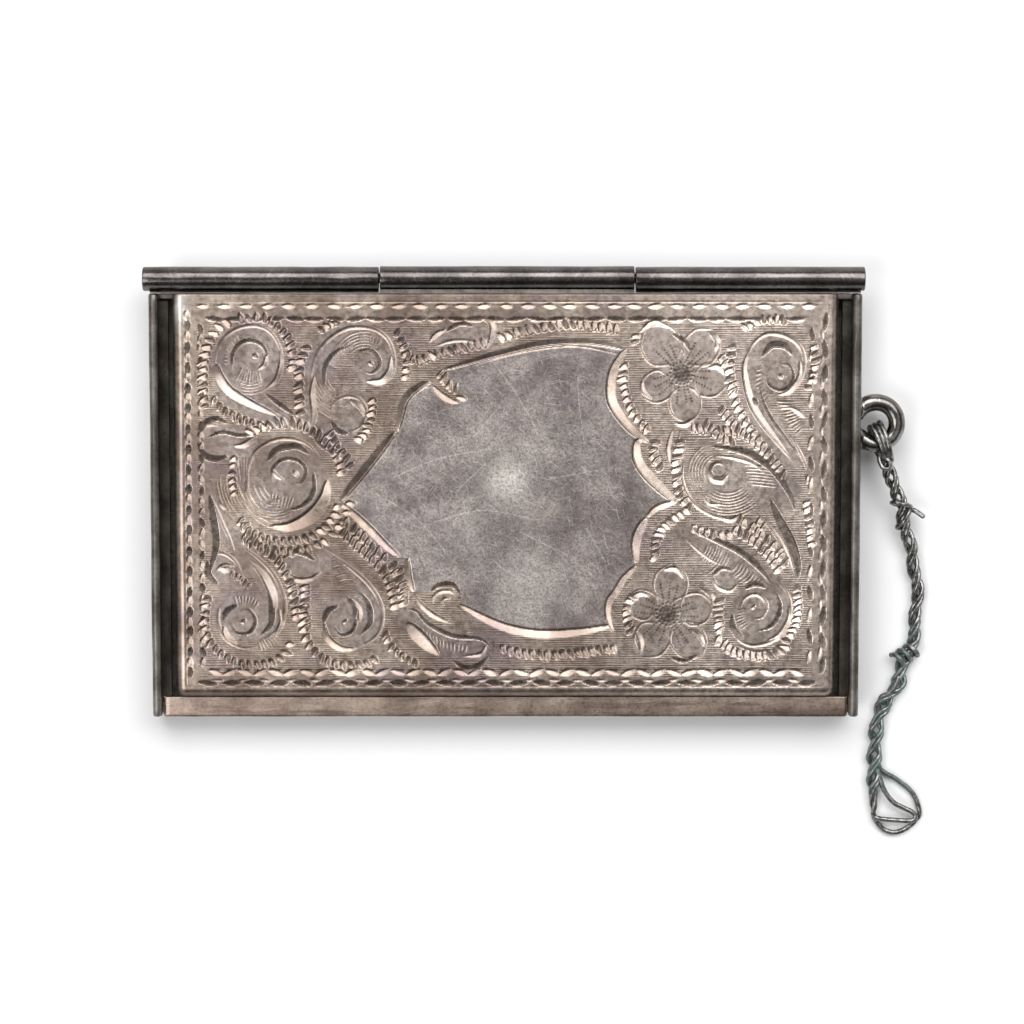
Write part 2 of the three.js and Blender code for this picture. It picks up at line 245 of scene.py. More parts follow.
class Look:
    """A node material, with short calls for adding nodes."""

    def __init__(self, name):
        self.material = bpy.data.materials.new(name)
        self.material.use_nodes = True
        self.tree = self.material.node_tree
        self.shader = self.tree.nodes["Principled BSDF"]
        where = self.add("ShaderNodeTexCoord").outputs["Object"]
        scale = self.add("ShaderNodeVectorMath", operation="SCALE")
        self.tree.links.new(where, scale.inputs[0])
        scale.inputs["Scale"].default_value = 1 / MM
        self.mm = scale.outputs[0]

    def add(self, kind, **settings):
        node = self.tree.nodes.new(kind)
        for key, value in settings.items():
            setattr(node, key, value)
        return node

    def feed(self, socket, value):
        if isinstance(value, bpy.types.NodeSocket):
            self.tree.links.new(value, socket)
        elif isinstance(value, (tuple, list)) and len(value) == 3 and socket.type == "RGBA":
            socket.default_value = (*value, 1)
        else:
            socket.default_value = value

    def math(self, operation, a, b=0.0):
        node = self.add("ShaderNodeMath", operation=operation)
        self.feed(node.inputs[0], a)
        self.feed(node.inputs[1], b)
        return node.outputs[0]

    def times(self, a, b):
        return self.math("MULTIPLY", a, b)

    def plus(self, a, b):
        return self.math("ADD", a, b)

    def stretch(self, scale, turn=0.0):
        """Millimetres turned about Z by some degrees, then scaled."""
        node = self.add("ShaderNodeMapping")
        node.inputs["Scale"].default_value = scale
        source = self.mm
        if turn:
            turned = self.add("ShaderNodeMapping")
            turned.inputs["Rotation"].default_value = (0, 0, math.radians(turn))
            self.feed(turned.inputs["Vector"], self.mm)
            source = turned.outputs[0]
        self.feed(node.inputs["Vector"], source)
        return node.outputs[0]

    def noise(self, scale, detail=3.0, roughness=0.55, vector=None):
        node = self.add("ShaderNodeTexNoise")
        self.feed(node.inputs["Vector"], vector or self.mm)
        fill(node, Scale=scale, Detail=detail, Roughness=roughness)
        return node.outputs["Fac"]

    def axis(self, name):
        """One coordinate in millimetres: X, Y or Z."""
        split = self.add("ShaderNodeSeparateXYZ")
        self.feed(split.inputs[0], self.mm)
        return split.outputs[name]

    def ramp(self, value, low, high, start=0.0, end=1.0, kind="SMOOTHSTEP"):
        node = self.add("ShaderNodeMapRange", interpolation_type=kind)
        self.feed(node.inputs["Value"], value)
        fill(node, From_Min=low, From_Max=high, To_Min=start, To_Max=end)
        return node.outputs["Result"]

    def mix(self, amount, a, b):
        node = self.add("ShaderNodeMix", data_type="RGBA")
        self.feed(node.inputs["Factor"], amount)
        self.feed(node.inputs[6], a)
        self.feed(node.inputs[7], b)
        return node.outputs[2]

    def attribute(self, name):
        return self.add("ShaderNodeAttribute", attribute_name=name).outputs["Fac"]

    def scratches(self, turns, pitch, keep):
        """Fine straight lines in several directions, 0 to 1."""
        total = None
        for i, turn in enumerate(turns):
            grain = (0.09 / pitch, 1.6 / pitch, 0.3 / pitch)
            lines = self.noise(1.0, 1.0, 0.5, self.stretch(grain, turn + 3.1 * i))
            lines = self.ramp(lines, keep, keep + 0.05)
            total = lines if total is None else self.math("MAXIMUM", total, lines)
        return total

    def bump(self, height, depth_mm, strength=1.0, normal=None):
        node = self.add("ShaderNodeBump")
        fill(node, Distance=depth_mm * MM, Strength=strength)
        self.feed(node.inputs["Height"], height)
        if normal is not None:
            self.feed(node.inputs["Normal"], normal)
        return node.outputs[0]

    def finish(self, colour, roughness, normal=None, metallic=1.0):
        self.feed(self.shader.inputs["Base Color"], colour)
        self.feed(self.shader.inputs["Roughness"], roughness)
        self.feed(self.shader.inputs["Metallic"], metallic)
        if normal is not None:
            self.feed(self.shader.inputs["Normal"], normal)
        return self.material


RULED_PITCH = 0.31
# The lightest copper colour is painted sheen, laid on towards +X.
COPPER_DARK, COPPER_LIGHT, COPPER_PAINTED_SHEEN = (0.26, 0.195, 0.158), (0.52, 0.425, 0.355), (0.78, 0.665, 0.585)
PLUM_TARNISH, LEAF_SILVER, RULED_DARK = (0.29, 0.225, 0.25), (0.44, 0.385, 0.37), (0.095, 0.07, 0.058)
# The dirt colour also paints shade, and the scratch colour also paints a highlight at one corner.
FINE_TARNISH, CUT_DIRT_AND_SHADE, FRESH_SCRATCH_AND_GLINT = (0.17, 0.13, 0.11), (0.030, 0.021, 0.016), (0.95, 0.92, 0.86)


def cartouche_colour(look, patches, painted_glow):
    """The plain field: grey silver with specks, and paler where painted highlight patches lie."""
    speck = look.noise(3.4, 4, 0.75)
    colour = look.mix(look.ramp(patches, 0.35, 0.65), (0.28, 0.235, 0.222), (0.60, 0.525, 0.485))
    colour = look.mix(look.ramp(speck, 0.36, 0.6, 0.55, 0), colour, (0.16, 0.13, 0.124))
    colour = look.mix(look.ramp(look.noise(0.45, 4, 0.7), 0.45, 0.68, 0, 0.5), colour, (0.31, 0.27, 0.275))
    # Painted highlight patches, flecked by the specks.
    pale = look.times(painted_glow, look.ramp(speck, 0.34, 0.56, 0.35, 1))
    return look.mix(pale, colour, (0.92, 0.85, 0.78))


def ruled_ground(look, ground):
    """Fine wavering lines ruled along X, broken here and there."""
    waver = look.noise(0.5, 2, 0.5, look.stretch((0.3, 1.6, 1)))
    phase = look.plus(look.times(look.axis("Y"), 2 * math.pi / RULED_PITCH), look.times(waver, 9.0))
    lines = look.ramp(look.math("SINE", phase), 0.05, 0.9)
    broken = look.ramp(look.noise(0.9, 3, 0.6, look.stretch((0.4, 1.5, 1))), 0.34, 0.56)
    return look.times(look.times(lines, broken), ground)


def engraved_silver():
    look = Look("engraved_silver")
    grime, plain, leaf = look.attribute("grime"), look.attribute("plain"), look.attribute("leaf")
    patches = look.noise(0.16, 4, 0.6)
    fine = look.noise(1.7, 4, 0.65)
    tint = look.noise(0.11, 2, 0.5, look.stretch((1, 1.4, 1), 20))
    colour = look.mix(look.ramp(patches, 0.35, 0.68), COPPER_DARK, COPPER_LIGHT)
    colour = look.mix(look.ramp(tint, 0.52, 0.7, 0, 0.5), colour, PLUM_TARNISH)
    colour = look.mix(look.times(leaf, look.ramp(patches, 0.4, 0.6, 0.15, 0.5)), colour, LEAF_SILVER)
    # Painted sheen: the colour grows lighter towards +X, in patches.
    painted_sheen = look.times(look.ramp(look.axis("X"), 4, 30, 0, 0.6), look.ramp(patches, 0.3, 0.6, 0.55, 1))
    colour = look.mix(painted_sheen, colour, COPPER_PAINTED_SHEEN)
    colour = look.mix(look.ramp(fine, 0.3, 0.62, 0.5, 0), colour, FINE_TARNISH)
    ruled = ruled_ground(look, look.attribute("ground"))
    colour = look.mix(look.times(ruled, 0.66), colour, RULED_DARK)
    # The cartouche colour carries painted highlight patches.
    colour = look.mix(plain, colour, cartouche_colour(look, patches, leaf))
    # Dirt in the cuts, and painted shade on dark-toned cuts and the lid's rolled edges.
    colour = look.mix(look.times(grime, look.ramp(fine, 0.2, 0.7, 1.0, 0.72)), colour, CUT_DIRT_AND_SHADE)
    # Scratches, and a painted highlight at the rear left corner.
    colour = look.mix(look.attribute("scratch"), colour, FRESH_SCRATCH_AND_GLINT)
    lines = look.scratches((8, 37, 71, 118, 152), 0.28, 0.68)
    colour = look.mix(look.times(lines, look.ramp(plain, 0, 1, 0.1, 0.3)), colour, (0.86, 0.81, 0.75))
    roughness = look.plus(look.ramp(fine, 0.2, 0.8, 0.25, 0.42, "LINEAR"), look.times(grime, 0.25))
    normal = look.bump(look.noise(6.0, 3, 0.7), 0.02, 0.35)
    normal = look.bump(ruled, 0.02, 0.7, normal)
    normal = look.bump(lines, 0.005, 0.5, normal)
    return look.finish(colour, roughness, normal)


def worn_silver(name, dark, light, tarnish_and_shade, share, grain, rough=(0.24, 0.42), scratch_turns=(5, 64, 121)):
    """Silver from dark to light, with streaks of tarnish over a share of it, stretched along its grain."""
    look = Look(name)
    patches = look.noise(0.22, 4, 0.6)
    streaks = look.noise(0.8, 3, 0.6, look.stretch(grain))
    fine = look.noise(2.6, 4, 0.65)
    colour = look.mix(look.ramp(patches, 0.32, 0.7), dark, light)
    colour = look.mix(look.ramp(streaks, 0.5, 0.72, 0, share), colour, tarnish_and_shade)
    colour = look.mix(look.ramp(fine, 0.28, 0.55, 0.4, 0), colour, tuple(c * 0.4 for c in tarnish_and_shade))
    lines = look.scratches(scratch_turns, 0.5, 0.66)
    colour = look.mix(look.times(lines, 0.25), colour, tuple(min(1, c * 1.35) for c in light))
    normal = look.bump(look.noise(4.5, 3, 0.65), 0.02, 0.3)
    normal = look.bump(lines, 0.006, 0.5, normal)
    return look.finish(colour, look.ramp(fine, 0.2, 0.8, *rough, "LINEAR"), normal)


def wire_metal(name):
    """Dark wire, with verdigris in patches along its far half but not on the end loop's tip."""
    look = Look(name)
    fine = look.noise(1.9, 4, 0.7)
    grain = look.noise(5.5, 3, 0.6)
    y = look.axis("Y")
    green = look.ramp(look.plus(y, look.times(look.noise(0.35, 2), 14)), -16, -6, 1, 0)
    green = look.times(green, look.ramp(y, -41.5, -39, 0, 1))
    green = look.times(green, look.ramp(look.noise(0.8, 3, 0.6), 0.36, 0.6, 0.2, 0.85))
    green = look.times(green, look.ramp(fine, 0.36, 0.6, 1, 0.45))
    colour = look.mix(look.ramp(fine, 0.35, 0.65), (0.085, 0.083, 0.078), (0.34, 0.335, 0.32))
    colour = look.mix(green, colour, (0.13, 0.20, 0.19))
    metallic = look.math("SUBTRACT", 0.98, look.times(green, 0.5))
    roughness = look.plus(look.ramp(grain, 0.3, 0.7, 0.24, 0.38), look.times(green, 0.2))
    return look.finish(colour, roughness, look.bump(grain, 0.04, 0.4), metallic)


ALONG_Y = (0.8, 0.12, 1)
ENGRAVED = engraved_silver()
WIRE = wire_metal("tether_wire")
RIM = worn_silver(
    "dark_silver", (0.095, 0.085, 0.075), (0.25, 0.232, 0.21), (0.062, 0.045, 0.039),
    0.65, ALONG_Y, (0.34, 0.52), (97,),
)
TUBE = worn_silver(
    "tube_silver", (0.09, 0.082, 0.079), (0.185, 0.17, 0.163), (0.05, 0.037, 0.034),
    0.5, (0.10, 1.6, 1.6), (0.18, 0.3),
)
RING = worn_silver(
    "ring_silver", (0.16, 0.15, 0.14), (0.40, 0.38, 0.36), (0.055, 0.042, 0.036),
    0.6, (0.5, 0.5, 1), (0.15, 0.27), (31, 97),
)
# Near black: painted shade on the strip deep in the groove between rim and lid.
GROOVE_PAINTED_SHADE = worn_silver(
    "groove_silver", (0.030, 0.026, 0.022), (0.085, 0.075, 0.065), (0.02, 0.014, 0.01),
    0.7, ALONG_Y, (0.5, 0.7),
)
LEDGE = worn_silver(
    "ledge_silver", (0.28, 0.208, 0.17), (0.50, 0.395, 0.325), (0.12, 0.085, 0.078),
    0.6, (0.12, 1.4, 1), (0.3, 0.46), (171,),
)
PLATE = worn_silver(
    "silver", (0.25, 0.235, 0.215), (0.42, 0.40, 0.375), (0.17, 0.14, 0.12),
    0.4, (0.4, 0.5, 1), (0.38, 0.52),
)
# Dark: painted shade on the bearers and the rear wall under the hinge tube.
BEARER_PAINTED_SHADE = worn_silver(
    "bearer_silver", (0.10, 0.085, 0.075), (0.22, 0.195, 0.175), (0.05, 0.036, 0.03),
    0.6, (0.1, 1.2, 1), (0.4, 0.6),
)

# ---------------------------------------------------------------- tether

TWIST_UPPER = [(51.88, 5.5, 4.2), (52.25, 4.4, 3.95), (52.9, 2.6, 3.55), (53.65, 0.9, 3.1)]
WRAP_UPPER = [(53.85, 0.45, 3.0), (54.25, -0.6, 2.75), (54.35, -1.8, 2.45)]
STRAY_END = [(55.95, -0.95, 2.8), (56.5, -1.3, 2.9), (57.1, -1.75, 3.05)]
TWIST_MIDDLE = [
    (54.4, -2.3, 2.35), (54.7, -3.6, 2.1), (55.55, -5.8, 1.7), (56.05, -9.1, 1.25), (56.75, -12, 1.1),
    (56.3, -15.8, 1.05), (56.35, -18.3, 1.05), (55.95, -19.7, 1.05),
]
TWIST_LOWER = [
    (54.5, -22.95, 1.05), (54.1, -25.2, 1.05), (52.7, -27.1, 1.05), (51.5, -29.6, 1.05),
    (51.1, -33.2, 1.05), (50.95, -36, 1.05), (50.85, -39.3, 1.05), (50.95, -42.3, 1.05),
]
END_LOOP = [
    (51.0, -41.6, 0.95), (50.95, -42.6, 0.75), (51.2, -43.9, 0.5), (52.3, -45.4, 0.42), (53.8, -45.95, 0.4),
    (55.4, -45.5, 0.4), (56.9, -44.2, 0.4), (57.4, -42.9, 0.4), (56.4, -40.4, 0.4), (54.2, -38.5, 0.5),
    (52.1, -37.2, 0.8), (51.5, -36.0, 1.0),
]
END_LOOP_INNER = [
    (51.35, -37.0, 1.2), (51.8, -38.3, 1.3), (52.4, -39.9, 1.3), (53.6, -41.5, 1.3), (55.0, -42.3, 1.25),
    (56.3, -42.95, 1.2), (56.75, -43.6, 1.2), (56.2, -44.15, 1.2), (54.0, -44.1, 1.1), (51.6, -43.85, 1.1),
    (51.15, -43.6, 1.05),
]
WRAP_TURN = [
    (55.1, -0.75, 2.45), (54.3, -0.35, 1.95), (53.2, -0.05, 2.3), (52.75, 0.2, 3.1), (53.2, 0.3, 3.95),
    (54.2, 0.05, 4.15), (55.15, -0.25, 3.6), (55.2, -0.75, 3.45), (54.8, -1.6, 3.55), (54.25, -2.5, 3.4),
    (53.6, -3.05, 2.8), (53.7, -3.35, 2.0), (54.4, -3.3, 1.7),
]
TOP_TURN = [
    (50.9, 7.2, 4.3), (50.75, 6.2, 4.9), (51.15, 5.2, 5.3), (51.9, 5.0, 5.3), (52.15, 5.7, 5.3),
    (51.75, 6.3, 5.2), (51.35, 5.9, 4.9),
]
SIDE_END = [
    (54.1, -24.0, 1.7), (53.5, -25.5, 1.9), (52.7, -26.3, 1.8), (51.9, -26.7, 1.5), (51.75, -27.3, 1.2),
    (52.3, -27.8, 0.9),
]
LOWER_COIL = [(56.5, -20.0, 1.4), (55.6, -20.6, 1.4), (54.7, -21.2, 1.4), (53.7, -21.8, 1.4)]
COIL_SHAPE = (2.9, 1.0, 0.9, 0.35)  # turns, radius, phase, rise
WIRE_RADIUS = 0.32
LOOP_RADIUS = 0.35
TWIST_PITCH = 6.8
TWIST_SQUASH = 0.78
HALF_APART = 0.5


def wire_radius(path, seed, radius=WIRE_RADIUS):
    return radius * (1 + 0.06 * value_noise(path, 0.9, seed))


def strands_of(path, pair_phases, spread):
    """Wires twisted round path in pairs; spread is how far each lies from it, at each point."""
    _, side, up = frames_along(path)
    run = np.concatenate([[0], np.cumsum(np.linalg.norm(np.diff(path, axis=0), axis=1))])
    wander = 0.35 * value_noise(path, 4.0, 31)
    parts = []
    for i, phase in enumerate(pair_phases):
        for j, half in enumerate((-HALF_APART, HALF_APART)):
            apart = half * (1 + 0.25 * value_noise(path, 2.6, 50 + i))
            angle = (2 * math.pi * run / TWIST_PITCH + phase + wander + apart)[:, None]
            out = spread * (1 + 0.10 * value_noise(path, 2.2, 40 + 2 * i + j))
            line = path + out[:, None] * (np.cos(angle) * side + TWIST_SQUASH * np.sin(angle) * up)
            line[:, 2] = np.maximum(line[:, 2], WIRE_RADIUS * 1.1)
            taper = 1 - 0.4 * np.clip((run / run[-1] - 0.95) / 0.05, 0, 1)
            parts.append(tube(line, wire_radius(line, 60 + 2 * i + j) * taper, 10))
    return parts


def wire_piece(name, routes, radius, *nodes):
    made = []
    for i, route in enumerate(routes):
        line = smooth(route, 0.12)
        made.append(tube(line, wire_radius(line, 80 + i, radius), 12))
    return place(make_object(name, *join(made)), "tether", "tether_wire", WIRE, *nodes)


def coil_route(centre, turns, radius, phase, rise):
    """Turns of one wire wound round a line."""
    line = smooth(centre, 0.05)
    tangent, side, up = frames_along(line)
    angle = 2 * math.pi * turns * np.linspace(0, 1, len(line)) + phase
    around = line + radius * (np.cos(angle)[:, None] * side + 0.85 * np.sin(angle)[:, None] * up)
    around += rise * tangent * np.sin(angle)[:, None]
    around[:, 2] = np.maximum(around[:, 2], WIRE_RADIUS * 1.15)
    return around[::3]


def make_eye():
    """Two turns of wire side by side, looped round the ring."""
    outwards = EYE_CENTRE - RING_CENTRE
    outwards /= np.linalg.norm(outwards)
    sideways = np.array([-outwards[1], outwards[0], 0])
    upwards = np.array([0, 0, 1.0])
    turns = []
    for i, shift in enumerate((-0.62, -0.02, 0.58)):
        angle = np.linspace(0, 2 * math.pi, 64)
        reach = -0.12 + (2.5 + 0.15 * i) * np.cos(angle)
        height = 1.72 * np.sin(angle) + 0.06 * np.sin(3 * angle + 2 * i)
        across = shift * (1 - 0.35 * np.cos(angle)) + 0.3 * np.sin(angle + 0.6 * i)
        ring = EYE_CENTRE + reach[:, None] * outwards + height[:, None] * upwards
        turns.append(tube(ring + across[:, None] * sideways, wire_radius(ring, 95 + i, 0.32), 12))
    return place(make_object("tether_eye_wire", *join(turns)), "eye", "tether_wire", WIRE, "tether_eye")


def make_tether():
    start = [(51.45, 6.9, 4.2)]
    upper = start + TWIST_UPPER + WRAP_UPPER[1:2] + TWIST_MIDDLE
    path = smooth(upper + [(55.1, -21.3, 1.15)] + TWIST_LOWER[:-1] + [(51.0, -42.7, 0.95)], 0.16)
    along = np.linspace(0, 1, len(path))
    lower = np.clip((along - 0.52) / 0.06, 0, 1)
    spread = 0.66 - 0.08 * np.clip((along - 0.2) / 0.2, 0, 1)
    spread += lower * (0.12 + 0.14 * np.sin(path[:, 1] * 1.75 + 0.6))
    spread *= 1 - 0.7 * np.clip((along - 0.90) / 0.10, 0, 1)
    twist = make_object("tether_twist", *join(strands_of(path, (0.4, 0.4 + math.pi), spread)))
    place(twist, "tether", "tether_wire", WIRE, "twist_upper", "twist_middle", "twist_lower")
    pieces = [
        wire_piece("tether_wrap_upper", [WRAP_TURN, TOP_TURN], 0.32, "wrap_upper"),
        wire_piece("tether_wrap_lower", [coil_route(LOWER_COIL, *COIL_SHAPE), SIDE_END], 0.34, "wrap_lower"),
        wire_piece("tether_stray_end", [[(54.95, -0.6, 2.6), *STRAY_END]], 0.33, "stray_wire_end"),
        wire_piece("tether_end_loop", [END_LOOP], LOOP_RADIUS, "end_loop"),
        wire_piece("tether_loop_inner", [END_LOOP_INNER], LOOP_RADIUS, "end_loop_inner"),
        make_eye(),
    ]


make_tether()

# ---------------------------------------------------------------- engraving

LID_TOP = 7.5
SHOULDER = 1.4
FLAT_X = 43.4
FLAT_FRONT = -24.6
LID_REAR = 28.6
SKIRT_RUN = 2.9
REAR_SKIRT = 0.69
CELL = 0.125
SLOPE, FINE_SLOPE, DOT_SLOPE, BEAD_SLOPE = 0.25, 0.26, 0.32, 0.36
BEAD_SLANT = 22
HATCH_PITCH = 0.4


def unit(angle):
    return np.array([np.cos(angle), np.sin(angle)])


def brightness(direction):
    """How bright a facet looks that tips towards direction, from the softboxes' places."""
    angle = np.arctan2(direction[:, 1], direction[:, 0])
    return np.maximum(np.cos(angle - math.radians(78)), 0.85 * np.cos(angle - math.radians(206)))


# The grime mask carries dirt in the cuts and painted shade; the leaf mask carries the leaf bodies and painted
# highlight patches in the cartouche; the scratch mask carries scratches and a painted highlight at one
# corner.
MASKS = ("grime", "plain", "leaf", "ground", "scratch")


class Engraving:
    """The height field of the engraved face, with the masks its material reads."""

    def __init__(self, xs, ys):
        self.xs, self.ys = xs, ys
        for field in ("depth", *MASKS):
            setattr(self, field, np.zeros((len(ys), len(xs))))

    def window(self, points, pad):
        x0, x1 = np.searchsorted(self.xs, [points[:, 0].min() - pad, points[:, 0].max() + pad])
        y0, y1 = np.searchsorted(self.ys, [points[:, 1].min() - pad, points[:, 1].max() + pad])
        gx, gy = np.meshgrid(self.xs[x0:x1], self.ys[y0:y1])
        return (slice(y0, y1), slice(x0, x1)), np.column_stack([gx.ravel(), gy.ravel()]), gx.shape

    def nearest(self, line, spots):
        k = ((spots[:, None, :] - line[None]) ** 2).sum(2).argmin(1)
        return k, spots - line[k]

    def cut(self, points, width, tone="V", lean=None, slope=SLOPE, head=0.5, blunt=0.6, step=0.12):
        """One graver cut along a smooth line. A leaning cut has one broad facet, and its deep edge is
        on the side that makes the facet bright (B) or dark (D); V is even on both sides. head is where
        it is widest."""
        line = smooth(points, step)
        area, spots, shape = self.window(line, width)
        if not len(spots):
            return
        tangent = np.gradient(line, axis=0)
        tangent /= np.maximum(np.linalg.norm(tangent, axis=1), 1e-9)[:, None]
        left = np.column_stack([-tangent[:, 1], tangent[:, 0]])
        if lean is None and tone != "V":
            lean = 1 if brightness(left).mean() >= brightness(-left).mean() else -1
            lean = -lean if tone == "D" else lean
        t = np.linspace(0, 1, len(line))
        bend = math.log(0.5) / math.log(head)
        half = 0.5 * width * np.maximum(np.sin(np.pi * t**bend), 0) ** blunt + 1e-3
        k, offset = self.nearest(line, spots)
        across = (left[k] * offset).sum(1)
        ahead = (tangent[k] * offset).sum(1)
        at_end = (k == 0) | (k == len(line) - 1)
        across = np.where(at_end, np.sign(across) * np.hypot(across, ahead), across)
        u = across / half[k]
        inside = np.abs(u) < 1
        deep = slope * 2 * half[k]
        if tone == "V" and lean is None:
            profile = 1 - np.abs(u)
            dirt_and_shade = np.clip(1 - np.abs(u) / 0.6, 0, 1) * 0.75
        else:
            profile = np.minimum((1 + lean * u) / 1.7, (1 - lean * u) / 0.3)
            dirt_and_shade = np.clip(1 - np.abs(lean * u - 0.82) / 0.26, 0, 1)
            # A dark-toned cut is darkened over its whole width: painted shade on top of the dirt at its deep
            # edge.
            if tone == "D":
                dirt_and_shade = np.maximum(dirt_and_shade, 0.88)
        found = np.where(inside, deep * profile, 0).reshape(shape)
        dirt_and_shade = np.where(inside, dirt_and_shade * np.clip(half[k] / 0.16, 0.3, 1), 0).reshape(shape)
        deeper = found > self.depth[area]
        self.grime[area] = np.where(deeper, dirt_and_shade, self.grime[area])
        self.depth[area] = np.maximum(self.depth[area], found)

    def mark(self, field, points, radius, strength=1.0, soft=0.25):
        """Paints a mask along a line."""
        line = smooth(points, 0.15) if len(points) > 1 else np.asarray(points, float)
        area, spots, shape = self.window(line, radius + soft)
        if not len(spots):
            return
        _, offset = self.nearest(line, spots)
        amount = strength * np.clip((radius - np.hypot(*offset.T)) / soft + 0.5, 0, 1).reshape(shape)
        layer = getattr(self, field)
        layer[area] = np.maximum(layer[area], amount)

    def beads(self, path, side=1, pitch=1.15, length=1.2, width=0.88, rows=1):
        """Rows of short wedge cuts across a path, on its left (1), right (-1) or centred (0)."""
        line = smooth(path, 0.1)
        length *= 1.26
        count = max(1, round(length_of(line) / (0.87 * pitch)))
        tangent = np.gradient(line, axis=0)
        lead = 0 if side > 0 else -1 if side < 0 else -0.5
        row_step = (1 if side >= 0 else -1) * length * 0.98
        head = 0.36 if side >= 0 else 0.64
        for row in range(rows):
            for i in range(count):
                k = int((i + 0.5 + 0.45 * (row % 2)) / (count + 0.5) * (len(line) - 1))
                slant = math.radians(90 + BEAD_SLANT + rng.uniform(-9, 9))
                heading = unit(math.atan2(tangent[k, 1], tangent[k, 0]) + slant)
                reach = length * rng.uniform(0.88, 1.12) * heading
                start = line[k] + lead * reach + row * row_step * heading
                tone = "V" if rng.random() < 0.3 else "B"
                across = width * rng.uniform(0.85, 1.15)
                self.cut([start, start + reach], across, tone, head=head, slope=BEAD_SLOPE, blunt=0.5)

    def chain(self, start, end, pitch, length, width, tones, slant=8):
        """A border row of lens cuts, one after another, leaning by turns."""
        start, end = np.asarray(start, float), np.asarray(end, float)
        count = max(1, round(np.linalg.norm(end - start) / pitch))
        heading = math.atan2(*(end - start)[::-1])
        for i in range(count):
            centre = start + (end - start) * (i + 0.5 + rng.uniform(-0.06, 0.06)) / count
            angle = heading + math.radians(slant * (1 if i % 2 else -1) + rng.uniform(-4, 4))
            reach = 0.5 * length * rng.uniform(0.9, 1.08) * unit(angle)
            self.cut([centre - reach, centre + reach], width * rng.uniform(0.85, 1.1), tones[i % len(tones)])

    def fan(self, start, end, count, width=0.3, bow=0.0):
        """Shading lines from one curve to another."""
        a, b = smooth(start, 0.1), smooth(end, 0.1)
        for i in range(count):
            t = (i + 0.5) / count
            pa, pb = a[int(t * (len(a) - 1))], b[int(t * (len(b) - 1))]
            middle = (pa + pb) / 2 + bow * np.array([(pa - pb)[1], (pb - pa)[0]])
            self.cut([pa, middle, pb], width * rng.uniform(0.85, 1.15), slope=FINE_SLOPE, blunt=0.4)

    def rings(self, centre, radii, start, end, width=0.3, tone="V", slope=FINE_SLOPE):
        """Shading lines along arcs about a centre, in degrees."""
        for radius in radii:
            angle = np.radians(np.linspace(start + rng.uniform(-6, 6), end + rng.uniform(-6, 6), 9))
            self.cut(centre + radius * unit(angle).T, width, tone, slope=slope, blunt=0.35)

    def hatch(self, centre, near, far, start, end):
        """A field of fine arcs about one centre."""
        for radius in np.arange(near, far, HATCH_PITCH):
            lead = rng.uniform(-5, 5)
            self.rings(centre, (radius,), start + lead, end + lead, 0.27, slope=DOT_SLOPE)

    def wash(self, polygon):
        """The plain field inside a polygon."""
        outline = np.asarray(polygon, float)
        gx, gy = np.meshgrid(self.xs, self.ys)
        inside = np.zeros(gx.shape, bool)
        for (x0, y0), (x1, y1) in zip(outline, np.roll(outline, -1, axis=0)):
            if y0 == y1:
                continue
            crosses = (y0 > gy) != (y1 > gy)
            inside ^= crosses & (gx < (x1 - x0) * (gy - y0) / (y1 - y0) + x0)
        self.plain[inside] = 1


def engrave(e):
    draw_border(e)
    draw_cartouche(e)
    draw_left(e)
    draw_flowers(e)
    draw_right(e)
    wear(e)


def draw_border(e):
    left, right, top, bottom = -42.75, 42.95, 27.0, -24.0
    e.chain((left, bottom + 0.8), (left, top - 0.6), 1.36, 1.6, 0.8, "DB", 7)
    e.chain((right, bottom + 0.8), (right, top - 0.6), 3.3, 2.7, 0.85, "D", 9)
    e.chain((right - 0.3, bottom + 2.4), (right - 0.3, top - 2.2), 3.3, 2.2, 0.55, "B", 5)
    e.chain((left + 0.9, top), (right - 0.9, top), 2.9, 1.9, 0.75, "B", 3)
    e.chain((left + 0.9, top + 0.1), (right - 0.9, top + 0.1), 2.9, 3.0, 0.24, "D", 1)
    e.chain((left + 0.6, bottom), (right - 0.6, bottom), 3.2, 2.7, 0.95, "D", 6)
    e.chain((left + 2.2, bottom + 0.3), (right - 2.2, bottom + 0.3), 3.2, 2.0, 0.5, "B", 5)
    e.chain((-41.0, -22.0), (-41.0, 24.8), 1.45, 1.45, 0.75, "BDB", 12)
    e.chain((41.2, -22.0), (41.2, 24.8), 2.9, 2.2, 0.8, "BD", 10)
    e.chain((-40.4, 25.35), (40.6, 25.35), 2.7, 2.9, 0.7, "D", 4)
    e.chain((-40.4, 25.05), (40.6, 25.05), 2.7, 1.9, 0.45, "B", 4)
    e.chain((-40.4, -22.6), (40.6, -22.6), 2.1, 2.3, 0.95, "B", 18)
    e.chain((-40.4, -22.2), (40.6, -22.2), 2.1, 2.2, 0.35, "D", 3)
    for x in (-43.3, 43.38):
        e.cut([(x, -24.3), (x + 0.03, 0), (x, 27.2)], 0.22, "V", slope=0.3, blunt=0.1)
    e.cut([(-43, 27.55), (0, 27.6), (43, 27.55)], 0.24, "V", slope=0.3, blunt=0.1)
    e.cut([(-42.9, -24.5), (0, -24.52), (42.9, -24.5)], 0.26, "V", slope=0.3, blunt=0.1)


